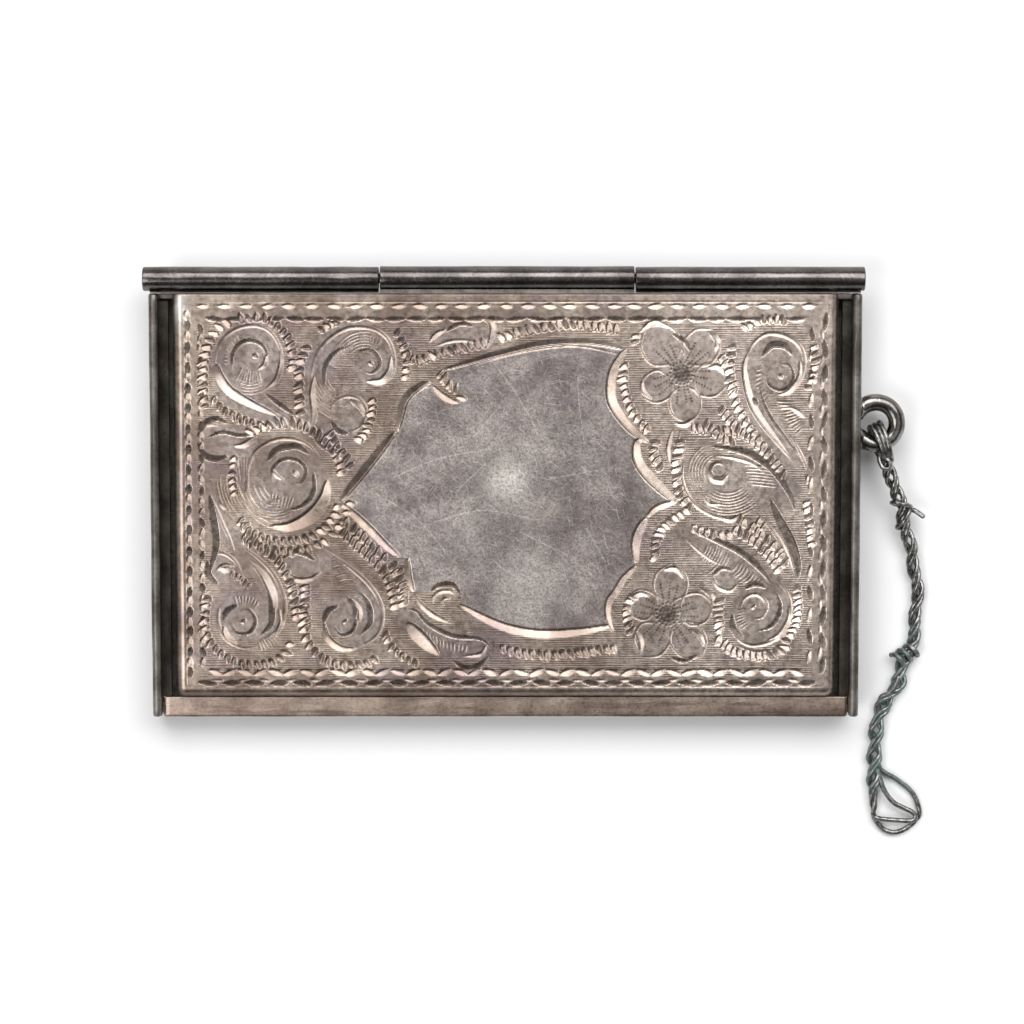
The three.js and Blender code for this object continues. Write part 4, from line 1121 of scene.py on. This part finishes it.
    # I: lower right scroll
    mark("leaf", [(24.5, -3.6), (28, -5.7), (32, -8), (35.5, -10.2), (37, -13), (36, -16.5),
        (33.4, -17)], 1.6)
    mark("leaf", [(33.8, -13.6)], 3.0)
    cut([(24.3, -2.8), (28, -4.3), (31.8, -6.1), (34.5, -8.4), (36.2, -10.6)], 0.9, "D", head=0.6)
    cut([(24.2, -4.2), (27.4, -6.9), (29.8, -8.1)], 0.55, "V")
    e.hatch((24.4, -4.6), 3.0, 6.4, -52, -14)
    fan([(31.4, -7.2), (33.4, -8.7), (34.9, -10.2)], [(30.2, -8.8), (31.6, -10.2),
        (33.6, -11.2)], 9, 0.3, bow=0.1)
    cut([(36.4, -9.6), (38.2, -11.8), (38.7, -14), (38.1, -16.2), (36.3, -18.2), (33.4, -18.9),
        (31.2, -17.7), (30.4, -15.6)], 0.55, "V")
    cut([(38.5, -13.4), (38.5, -15.5), (37.2, -17.6), (35.3, -18.4)], 1.15, "B")
    cut([(36.7, -11.6), (37.2, -13.9), (36.1, -16.1), (34.2, -16.9)], 0.7, "D")
    cut([(30.7, -14.6), (30.9, -16.6), (32.3, -17.9)], 0.9, "D")
    cut([(31.8, -14.2), (32.4, -12.6), (34.0, -12.0), (35.3, -13.2), (34.9, -14.9), (33.4, -15.3)], 0.55, "B")
    cut([(32.4, -11.2), (33.8, -10.4), (35.4, -11)], 0.85, "D")
    cut([(33.3, -13.9), (33.9, -13.4)], 0.55, "V", slope=DOT_SLOPE)
    mark("leaf", [(29.6, -9.9)], 1.8)
    cut([(27.9, -9.2), (28.7, -10.9), (30.4, -11.5), (31.6, -10.4)], 0.6, "B")
    cut([(28.0, -9.4), (29.2, -8.3), (30.8, -8.6)], 0.6, "D")
    fan([(31.4, -13.9), (31.2, -15.6), (32.0, -17.0)], [(32.4, -13.9), (32.5, -15.0), (33.3, -15.9)], 7, 0.26)
    cut([(31.3, -18.9), (33.8, -19.9), (36.4, -19.5)], 0.6, "B")
    beads([(39.9, -10.4), (40.3, -13.6), (39.8, -16.6), (38.2, -19.2)], -1, 1.1, 1.15)
    beads([(28.4, -18.6), (30.6, -20.3), (34.2, -21.0), (37.4, -20.4), (39.3, -18.6)], 1, 1.1, 1.25)
    beads([(29.0, -12.6), (28.9, -15.2), (29.3, -17.6)], 0, 1.05, 1.15)
    # rows beside the cartouche
    beads([(24.3, 0.0), (21.8, -1.6), (20.0, -3.7), (19.6, -6.4), (20.0, -8.2)], 1, 1.1, 1.2)
    beads([(16.6, 19.6), (16.6, 16.2), (17.7, 13.0), (20.0, 10.4)], -1, 1.1, 1.15)
    beads([(20.4, 9.0), (20.0, 7.2), (21.3, 4.6)], 0, 1.05, 1.15)
    beads([(16.6, -17.8), (15.9, -15.4), (16.0, -13.2), (17.1, -11.2)], -1, 1.1, 1.15)
    beads([(17.6, 23.2), (17.4, 21.6)], 0, 1.0, 1.0)


# Painted highlight patches in the cartouche, as x, y, reach and amount: a bright spot near the middle and
# fainter ones round it.
PAINTED_GLOW_SPOTS = (
    (0.2, 3.8, 2.4, 0.95), (3.0, -10.5, 4.6, 0.5), (-5.5, -4.5, 4.0, 0.22), (10.0, 9.0, 4.5, 0.2),
    (0, 4, 7, 0.22),
)


def wear(e):
    """Painted highlight patches inside the cartouche, painted shade that darkens the lid's rolled edges, more
    on the left and along the rear under the hinge, and a painted highlight at the rear left corner.
    """
    gx, gy = np.meshgrid(e.xs, e.ys)
    painted_glow = np.zeros(gx.shape)
    for x, y, reach, amount in PAINTED_GLOW_SPOTS:
        painted_glow += amount * np.exp(-((gx - x) ** 2 + (gy - y) ** 2) / reach**2)
    # The leaf mask carries these painted highlight patches inside the cartouche.
    e.leaf = np.where(e.plain > 0.5, np.clip(painted_glow, 0, 1), e.leaf)
    # Painted shade on the rolled edges, darker on the left, and along the rear under the hinge tube.
    sides = np.clip((np.abs(gx) - 43.7) / 1.7, 0, 1)
    front = np.clip((-24.95 - gy) / 0.8, 0, 1)
    rear = np.clip((gy - 27.75) / 1.2, 0, 1)
    tarnish_and_shade = np.maximum.reduce([np.where(gx < 0, 0.86, 0.66) * sides, 0.36 * front, 0.5 * rear])
    e.grime = np.maximum(e.grime, tarnish_and_shade)
    # Painted highlight at the rounded rear left corner.
    corner = np.exp(-(((gx + 43.9) / 1.1) ** 2 + ((gy - 26.9) / 2.2) ** 2))
    e.scratch = np.maximum(e.scratch, 0.8 * corner)


def ground_lines(e):
    """Hand-ruled lines that fill the ground between the scrolls, about half a millimetre apart."""
    gx, gy = np.meshgrid(e.xs, e.ys)
    spots = flat_spots(gx, gy)
    wander = value_noise(spots * (0.12, 1, 1), 2.6, 11).reshape(gx.shape) * 0.16
    wave = np.abs(((gy + wander) / 0.5) % 1 - 0.5) * 2
    strength = 0.55 + 0.45 * value_noise(spots * (0.35, 1.8, 1), 1.7, 12).reshape(gx.shape)
    edge = (np.abs(gx) < 41.6) & (gy > -23.2) & (gy < 24.7)
    e.ground = (1 - e.plain) * (1 - 0.85 * e.leaf) * edge * np.clip(1 - e.depth / 0.03, 0, 1)
    e.depth = np.maximum(e.depth, 0.012 * np.clip(1 - wave / 0.75, 0, 1) * np.clip(strength, 0, 1) * e.ground)


# ---------------------------------------------------------------- lid panel


def shoulder(x_over, y_over, inset=0.0):
    """How far points past the flat lie out and down, round the rolled shoulder."""
    run = np.maximum(x_over, y_over)
    turn = corner_turn(x_over, y_over)
    arc = np.minimum(run / SHOULDER, math.pi / 2)
    radius = SHOULDER - inset
    out = radius * np.sin(arc)
    drop = SHOULDER - radius * np.cos(arc) + np.maximum(run - SHOULDER * math.pi / 2, 0)
    return out * np.cos(turn), out * np.sin(turn), drop


def lid_points(p, q, inset=0.0):
    shrink = 1 - (1 - REAR_SKIRT) * np.clip((q - 27.0) / 0.3, 0, 1)
    x_over = np.maximum(np.abs(p) - FLAT_X, 0) * shrink
    y_over = np.maximum(FLAT_FRONT - q, 0)
    out_x, out_y, drop = shoulder(x_over, y_over, inset)
    x = np.clip(p, -FLAT_X, FLAT_X) + np.sign(p) * out_x
    y = np.maximum(q, FLAT_FRONT) - out_y
    return x, y, LID_TOP - drop


DENTS = ((0.0, 4.0, 3.4, 0.13), (3.0, -11.0, 5.5, 0.10), (-7.0, 9.0, 6.0, 0.06), (11.0, -3.0, 7.0, 0.08))


def sway_of(p, q):
    """How the face rises and falls a little from handling: long waves and a few shallow dents."""
    spots = flat_spots(p, q)
    waves = ((0.05, 17, 3), (0.02, 6.5, 4), (0.004, 1.6, 5))
    sway = sum(height * value_noise(spots, size, seed) for height, size, seed in waves)
    past = np.maximum(np.abs(p) - FLAT_X, FLAT_FRONT - q)
    sway = (sway.reshape(p.shape) - 0.08) * np.clip((SHOULDER * 1.2 - past) / 2, 0, 1)
    for x, y, reach, deep in DENTS:
        sway -= deep * np.exp(-((p - x) ** 2 + (q - y) ** 2) / reach**2)
    return sway


PANEL_THICKNESS = 0.7
SHELL_STEPS = (1.0, 0.88, 0.76, 0.62, 0.48, 0.34, 0.2, 0.1, 0.0)


def inner_shell(loop_p, loop_q, loop, first):
    """The panel's inner skin, from its free edge to the ceiling; its new points count from first."""
    faces, extra, found = [], [], {}
    previous = loop.tolist()
    flat_p = np.clip(loop_p, -FLAT_X, FLAT_X)
    for share in SHELL_STEPS:
        ring_q = np.where(loop_q < FLAT_FRONT, FLAT_FRONT + share * (loop_q - FLAT_FRONT), loop_q)
        rx, ry, rz = lid_points(flat_p + share * (loop_p - flat_p), ring_q, PANEL_THICKNESS)
        current = []
        for point in zip(rx.tolist(), ry.tolist(), rz.tolist()):
            key = tuple(round(c, 4) for c in point)
            if key not in found:
                found[key] = first + len(extra)
                extra.append(point)
            current.append(found[key])
        for i in range(len(loop)):
            j = (i + 1) % len(loop)
            corners = [previous[j], previous[i], current[i], current[j]]
            corners = [c for k, c in enumerate(corners) if c != corners[k - 1]]
            if len(corners) > 2:
                faces.append(corners)
        previous = current
    ceiling = [c for k, c in enumerate(previous) if c != previous[k - 1]]
    return extra, faces + [ceiling[::-1]]


def make_lid_panel():
    skirt = np.linspace(0, SKIRT_RUN, 21)[1:]
    flat = np.linspace(-FLAT_X, FLAT_X, round(2 * FLAT_X / CELL) + 1)
    xs = np.concatenate([-FLAT_X - skirt[::-1], flat, FLAT_X + skirt])
    face = np.linspace(FLAT_FRONT, LID_REAR, round((LID_REAR - FLAT_FRONT) / CELL) + 1)
    ys = np.concatenate([FLAT_FRONT - skirt[::-1], face])
    e = Engraving(xs, ys)
    engrave(e)
    ground_lines(e)
    e.plain *= np.clip(1 - e.depth / 0.02, 0, 1)
    p, q = np.meshgrid(xs, ys)
    x, y, z = lid_points(p, q)
    z = z - e.depth + np.minimum(sway_of(p, q), 0)
    quads, loop = grid_faces(*p.shape)
    vertices = np.column_stack([x.ravel(), y.ravel(), z.ravel()])
    loop_p, loop_q = p.ravel()[loop], q.ravel()[loop]
    extra, inner_faces = inner_shell(loop_p, loop_q, loop, len(vertices))
    faces = quads.tolist() + inner_faces
    vertices = np.vstack([vertices, np.array(extra)])
    panel = make_object("lid_panel_engraved", vertices, faces)
    panel.data.polygons[len(faces) - 1].use_smooth = False
    inside = {"plain": 1.0, "grime": 0.34}
    for name in MASKS:
        values = np.full(len(vertices), inside.get(name, 0.0), np.float32)
        values[: p.size] = getattr(e, name).ravel()
        panel.data.attributes.new(name, "FLOAT", "POINT").data.foreach_set("value", values)
    return place(panel, "lid", "engraved_silver", ENGRAVED, "lid_panel")


make_lid_panel()

# ---------------------------------------------------------------- plain metal parts


def rounded(profile, radius, steps=4):
    """A closed 2-D outline with its corners rounded; a corner may carry its own radius as a third number."""
    out = []
    count = len(profile)
    for i, corner in enumerate(profile):
        here = np.array(corner[:2], float)
        r = corner[2] if len(corner) > 2 else radius
        before = np.array(profile[i - 1][:2], float) - here
        after = np.array(profile[(i + 1) % count][:2], float) - here
        before_len, after_len = np.linalg.norm(before), np.linalg.norm(after)
        r = min(r, before_len * 0.49, after_len * 0.49)
        a, b = here + before / before_len * r, here + after / after_len * r
        for t in np.linspace(0, 1, steps + 1):
            out.append((1 - t) ** 2 * a + 2 * t * (1 - t) * here + t**2 * b)
    return np.array(out)


def bar(name, profile, start, end, axis, bevel=0.12, wobble=0.03, seed=1, step=0.8):
    """A long part with one outline, run along X or Y, with softened ends and slight dents.
    The outline is in (Y, Z) for X, and in (X, Z) for Y."""
    outline = np.asarray(profile, float)
    ahead, behind = np.roll(outline, -1, axis=0), np.roll(outline, 1, axis=0)
    along = ahead - behind
    area = 0.5 * np.sum(outline[:, 0] * ahead[:, 1] - ahead[:, 0] * outline[:, 1])
    normal = np.column_stack([along[:, 1], -along[:, 0]]) * (1 if area > 0 else -1)
    normal /= np.maximum(np.linalg.norm(normal, axis=1), 1e-9)[:, None]
    inner = np.linspace(start + bevel, end - bevel, max(2, int((end - start) / step)))
    near = 0.3 * bevel
    tips = [(start, bevel), (start + near, near)], [(end - near, near), (end, bevel)]
    stations = tips[0] + [(s, 0) for s in inner] + tips[1]
    rings = []
    for place_along, inset in stations:
        ring = outline - normal * inset
        full = np.full(len(ring), place_along)
        three = np.column_stack([full, ring] if axis == "X" else [ring[:, 0], full, ring[:, 1]])
        dent = wobble * np.clip(value_noise(three * 0.6, 3.1, seed) * 0.7 - 0.3, -1, 0)
        three[:, [1, 2] if axis == "X" else [0, 2]] += normal * dent[:, None]
        rings.append(three)
    return make_object(name, np.vstack(rings), skin(len(rings), len(outline)))


def box_outline(low, high, across, radius):
    """A box's outline over one level axis (0 is X, 1 is Y) and Z, with round corners."""
    a, b, bottom, top = low[across], high[across], low[2], high[2]
    return rounded([(a, bottom), (b, bottom), (b, top), (a, top)], radius)


def make_rims_and_walls():
    for i, side in enumerate(("left", "right")):
        low, high = box_mm(f"rim_bead_{side}")
        radius = (high[0] - low[0]) / 2
        middle, spring = (low[0] + high[0]) / 2, high[2] - radius
        arc = np.radians(np.linspace(0, 180, 15))
        top = np.column_stack([middle + radius * np.cos(arc), spring + radius * np.sin(arc)])
        base = [(low[0] + 0.03, low[2]), (high[0] - 0.03, low[2])]
        bead = bar(f"rim_{side}", np.vstack([base, top]), low[1], high[1], "Y", 0.3, 0.09, 5 + i)
        place(bead, "tray", "dark_silver", RIM, f"rim_bead_{side}")
        low, high = box_mm(f"wall_{side}")
        wall = bar(f"side_{side}", box_outline(low, high, 0, 0.15), low[1], high[1], "Y", 0.15, 0.12, 7 + i)
        place(wall, "tray", "dark_silver", RIM, f"wall_{side}")
        low, high = box_mm(f"inner_ledge_{side}")
        outline = box_outline(low, high, 0, 0.1)
        ledge = bar(f"groove_strip_{side}", outline, low[1], high[1], "Y", 0.1, 0.05, 9)
        # The groove strip is painted near black as shade.
        place(ledge, "tray", "dark_silver", GROOVE_PAINTED_SHADE, f"inner_ledge_{side}")
    # The rear wall takes the painted-shade finish of the bearers.
    for side, material in (("front", PLATE), ("rear", BEARER_PAINTED_SHADE)):
        low, high = box_mm(f"wall_{side}")
        wall = bar(f"side_{side}", box_outline(low, high, 1, 0.18), low[0], high[0], "X", 0.15, 0.12, 12)
        place(wall, "tray", "silver", material, f"wall_{side}")


def make_thumb_ledge():
    low, high = box_mm("thumb_ledge")
    front, rear, bottom, top = low[1], high[1], low[2], high[2]
    corners = [(front, bottom, 0.3), (rear, bottom, 0.08), (rear, top, 0.08)]
    corners += [(front + 0.9, top - 0.02, 0.4), (front, top - 0.1, 0.3)]
    past = 0.4
    ledge = bar("thumb_strip", rounded(corners, 0.2), low[0] - past, high[0] + past, "X", 0.35, 0.06, 14, 0.6)
    place(ledge, "lid", "engraved_silver", LEDGE, "thumb_ledge")


def lathe_x(name, profile, centre_y, centre_z, around=56, wobble=0.0, seed=1):
    """A turned part about a line along X, from a closed outline of (x, radius)."""
    outline = np.asarray(profile, float)
    angle = np.linspace(0, 2 * math.pi, around, endpoint=False)
    x = np.repeat(outline[:, 0], around)
    radius = np.repeat(outline[:, 1], around)
    turn = np.tile(angle, len(outline))
    vertices = np.column_stack([x, centre_y + radius * np.cos(turn), centre_z + radius * np.sin(turn)])
    if wobble:
        dent = wobble * np.clip(value_noise(vertices * (0.35, 1, 1), 1.3, seed) * 0.8 - 0.25, -1, 0)
        vertices[:, 1] += dent * np.cos(turn)
        vertices[:, 2] += dent * np.sin(turn)
    return make_object(name, vertices, skin(len(outline), around, closed=True))


TUBE_EDGE = 0.16
TUBE_BORE = 0.75
TUBE_SET_BACK = 0.08
TUBE_GAP_CLOSE = 0.15


def tube_outline(start, end, outer):
    """The outline of half a tube's wall, with rounded outer edges."""
    arc = [(TUBE_EDGE * math.cos(a), TUBE_EDGE * math.sin(a)) for a in np.radians(np.linspace(0, 90, 5))]
    outline = [(start, TUBE_BORE)]
    outline += [(start + TUBE_EDGE - cos, outer - TUBE_EDGE + sin) for cos, sin in arc]
    outline += [(x, outer) for x in np.arange(start + 1, end - 1, 0.9)]
    outline += [(end - TUBE_EDGE + sin, outer - TUBE_EDGE + cos) for cos, sin in arc]
    outline += [(end, TUBE_BORE)]
    return outline[::-1]


def make_hinge():
    for node, body in (("knuckle_left", "tray"), ("knuckle_middle", "lid"), ("knuckle_right", "tray")):
        low, high = box_mm(node)
        start = low[0] - (TUBE_GAP_CLOSE if node == "knuckle_right" else 0)
        end = high[0] + (TUBE_GAP_CLOSE if node == "knuckle_left" else 0)
        outline = tube_outline(start, end, (high[2] - low[2]) / 2)
        centre_y = HINGE_Y - (TUBE_SET_BACK if body == "tray" else 0)
        knuckle = lathe_x(node.replace("knuckle", "tube"), outline, centre_y, HINGE_Z, 56, 0.05, len(node))
        place(knuckle, body, "dark_silver", TUBE, node)
    low, high = box_mm("hinge_pin")
    radius = (high[1] - low[1]) / 2
    crimp = [(0.12, 0.0001), (0, 0.18), (0.02, 0.42), (0.16, radius)]
    outline = [(low[0] + depth, r) for depth, r in crimp]
    outline += [(x, radius) for x in np.linspace(low[0] + 1, high[0] - 1, 24)]
    outline += [(high[0] - depth, r) for depth, r in crimp[::-1]]
    pin = lathe_x("pin", outline[::-1], HINGE_Y, HINGE_Z, 32, 0.02, 3)
    place(pin, "tray", "dark_silver", RIM, "hinge_pin")


def make_back_plate():
    """A thin plate with soft edges and round corners, and a slight sway over its whole face."""
    low, high = box_mm("back_plate")
    edge, corner, cell = 0.3, 1.2, 0.8
    flat = (high[0] - corner, high[1] - corner)
    rise = np.linspace(0, 1, 5)[1:]
    steps = np.concatenate([(corner - edge) * rise, corner - edge + edge * math.pi / 2 * rise])
    axes = []
    for f in flat:
        axes.append(np.concatenate([-f - steps[::-1], np.linspace(-f, f, round(2 * f / cell)), f + steps]))
    p, q = np.meshgrid(*axes)
    a, b = np.maximum(np.abs(p) - flat[0], 0), np.maximum(np.abs(q) - flat[1], 0)
    run = np.maximum(a, b)
    turn = corner_turn(a, b)
    arc = np.clip((run - (corner - edge)) / edge, 0, math.pi / 2)
    out = np.minimum(run, corner - edge) + edge * np.sin(arc)
    x = np.clip(p, -flat[0], flat[0]) + np.sign(p) * out * np.cos(turn)
    y = np.clip(q, -flat[1], flat[1]) + np.sign(q) * out * np.sin(turn)
    drop = edge * (1 - np.cos(arc))
    sway = 0.035 * (value_noise(flat_spots(p, q), 14, 21) + 1).reshape(p.shape) * (run == 0)
    quads, loop = grid_faces(*p.shape)
    top = np.column_stack([x.ravel(), y.ravel(), (high[2] - drop - sway).ravel()])
    bottom = np.column_stack([x.ravel(), y.ravel(), (low[2] + drop + sway).ravel()])
    count = len(top)
    rim = np.column_stack([loop, loop + count, np.roll(loop + count, -1), np.roll(loop, -1)])
    faces = quads.tolist() + (quads[:, ::-1] + count).tolist() + rim.tolist()
    plate = make_object("back_sheet", np.vstack([top, bottom]), faces)
    place(plate, "tray", "silver", PLATE, "back_plate")


def melt(piece, voxel, rounds):
    """Joins a piece's overlapping lumps into one smooth skin."""
    remesh = piece.modifiers.new("melt", "REMESH")
    remesh.mode, remesh.voxel_size, remesh.use_smooth_shade = "VOXEL", voxel * MM, True
    soften = piece.modifiers.new("soften", "SMOOTH")
    soften.iterations, soften.factor = rounds, 0.5
    graph = bpy.context.evaluated_depsgraph_get()
    mesh = bpy.data.meshes.new_from_object(piece.evaluated_get(graph))
    piece.modifiers.clear()
    old, piece.data = piece.data, mesh
    bpy.data.meshes.remove(old)
    mesh.name = piece.name
    mesh.polygons.foreach_set("use_smooth", [True] * len(mesh.polygons))
    return piece


def make_ring():
    """A heavy wire ring, its ends sunk in two lumps of solder on the wall."""
    low, _ = box_mm("bail_ring")
    radius, wire = 2.85, 1.15
    reach = math.acos((48.0 - RING_CENTRE[0]) / radius)
    angle = np.linspace(-reach, reach, 70)
    path = RING_CENTRE + radius * np.column_stack([np.cos(angle), np.sin(angle), np.zeros(70)])
    thick = wire * (1 + 0.04 * value_noise(path, 1.6, 9))
    thick -= 0.12 * np.exp(-(((angle - math.radians(-74)) / 0.3) ** 2))
    parts = [tube(path, thick, 24)]
    rows, around = 16, 22
    theta = np.linspace(0.04, math.pi - 0.04, rows)
    phi = np.linspace(0, 2 * math.pi, around, endpoint=False)
    grid = np.array([(math.cos(t), *(math.sin(t) * unit(f))) for t in theta for f in phi])
    faces = skin(rows, around)
    for sign in (1, -1):
        foot = RING_CENTRE + (radius * math.cos(reach), sign * (radius * math.sin(reach) + 0.15), 0)
        for shift, size in (((-0.1, 0.0), (1.0, 1.55, 1.4)), ((-0.25, 0.6 * sign), (0.62, 1.9, 1.15))):
            lumps = 1 + 0.08 * value_noise(grid + sign * 3, 0.7, 17)
            parts.append((foot + (*shift, 0) + grid * lumps[:, None] * np.array(size), faces))
    ring = melt(make_object("ring", *join(parts)), 0.11, 6)
    points = np.array([v.co for v in ring.data.vertices])
    points[:, 0] = np.maximum(points[:, 0], (low[0] - 0.08) * MM)
    ring.data.vertices.foreach_set("co", points.ravel())
    ring.data.update()
    place(ring, "tray", "dark_silver", RING, "bail_ring")


make_rims_and_walls()
make_thumb_ledge()
make_hinge()
make_back_plate()
make_ring()
# The bearers take a dark finish that is painted shade.
for bearer in ("hinge_bearer_left", "hinge_bearer_right", "hinge_bearer_lid"):
    NODES[bearer].data.materials.clear()
    NODES[bearer].data.materials.append(BEARER_PAINTED_SHADE)

# ---------------------------------------------------------------- floor and light


FLOOR_HALF = 1.6
FLOOR_DROP = -0.00005


def make_floor():
    mesh = bpy.data.meshes.new("floor")
    corners = [(x * FLOOR_HALF, y * FLOOR_HALF, FLOOR_DROP) for x, y in ((-1, -1), (1, -1), (1, 1), (-1, 1))]
    mesh.from_pydata(corners, [], [(0, 1, 2, 3)])
    floor = new_object("floor", mesh)
    material = bpy.data.materials.new("floor")
    material.use_nodes = True
    fill(material.node_tree.nodes["Principled BSDF"], Base_Color=(0.9, 0.9, 0.905, 1), Roughness=0.9)
    mesh.materials.append(material)


def softbox(name, azimuth, height, distance, width, depth, radiance):
    """A light panel aimed at the case; azimuth from +X towards +Y and height are in degrees."""
    data = bpy.data.lights.new(name, "AREA")
    data.shape = "RECTANGLE"
    data.size, data.size_y = width, depth
    data.energy = radiance * math.pi * width * depth
    light = new_object(name, data)
    a, h = math.radians(azimuth), math.radians(height)
    where = Vector((math.cos(a) * math.cos(h), math.sin(a) * math.cos(h), math.sin(h)))
    light.location = where * distance
    light.rotation_mode = "QUATERNION"
    light.rotation_quaternion = where.to_track_quat("Z", "Y")


def make_world():
    """Pale walls, a dark ceiling, and a soft glow overhead that leans to the hinge's side."""
    world = bpy.data.worlds.new("studio")
    bpy.context.scene.world = world
    world.use_nodes = True
    tree = world.node_tree
    new, link = tree.nodes.new, tree.links.new
    direction = new("ShaderNodeTexCoord").outputs["Generated"]
    split = new("ShaderNodeSeparateXYZ")
    link(direction, split.inputs[0])
    walls = new("ShaderNodeMapRange")
    walls.interpolation_type = "SMOOTHSTEP"
    link(split.outputs["Z"], walls.inputs["Value"])
    fill(walls, From_Min=0.22, From_Max=0.5, To_Min=0.9, To_Max=0.05)
    lean = new("ShaderNodeVectorMath")
    lean.operation = "DOT_PRODUCT"
    lean.inputs[1].default_value = Vector((0.34, 0.03, 0.94)).normalized()
    link(direction, lean.inputs[0])
    glow = new("ShaderNodeMapRange")
    glow.interpolation_type = "SMOOTHSTEP"
    link(lean.outputs["Value"], glow.inputs["Value"])
    fill(glow, From_Min=0.84, From_Max=1.0, To_Min=0.0, To_Max=0.42)
    total = new("ShaderNodeMath")
    total.operation = "ADD"
    link(walls.outputs["Result"], total.inputs[0])
    link(glow.outputs["Result"], total.inputs[1])
    link(total.outputs[0], tree.nodes["Background"].inputs["Strength"])
    tree.nodes["Background"].inputs["Color"].default_value = (1, 1, 1, 1)


def make_light():
    make_world()
    softbox("softbox_rear", 78, 56, 0.9, 1.2, 0.56, 4.6)
    softbox("softbox_left", 206, 58, 0.9, 0.48, 0.46, 4.2)
    bpy.context.scene.view_settings.view_transform = "Standard"


make_floor()
make_light()
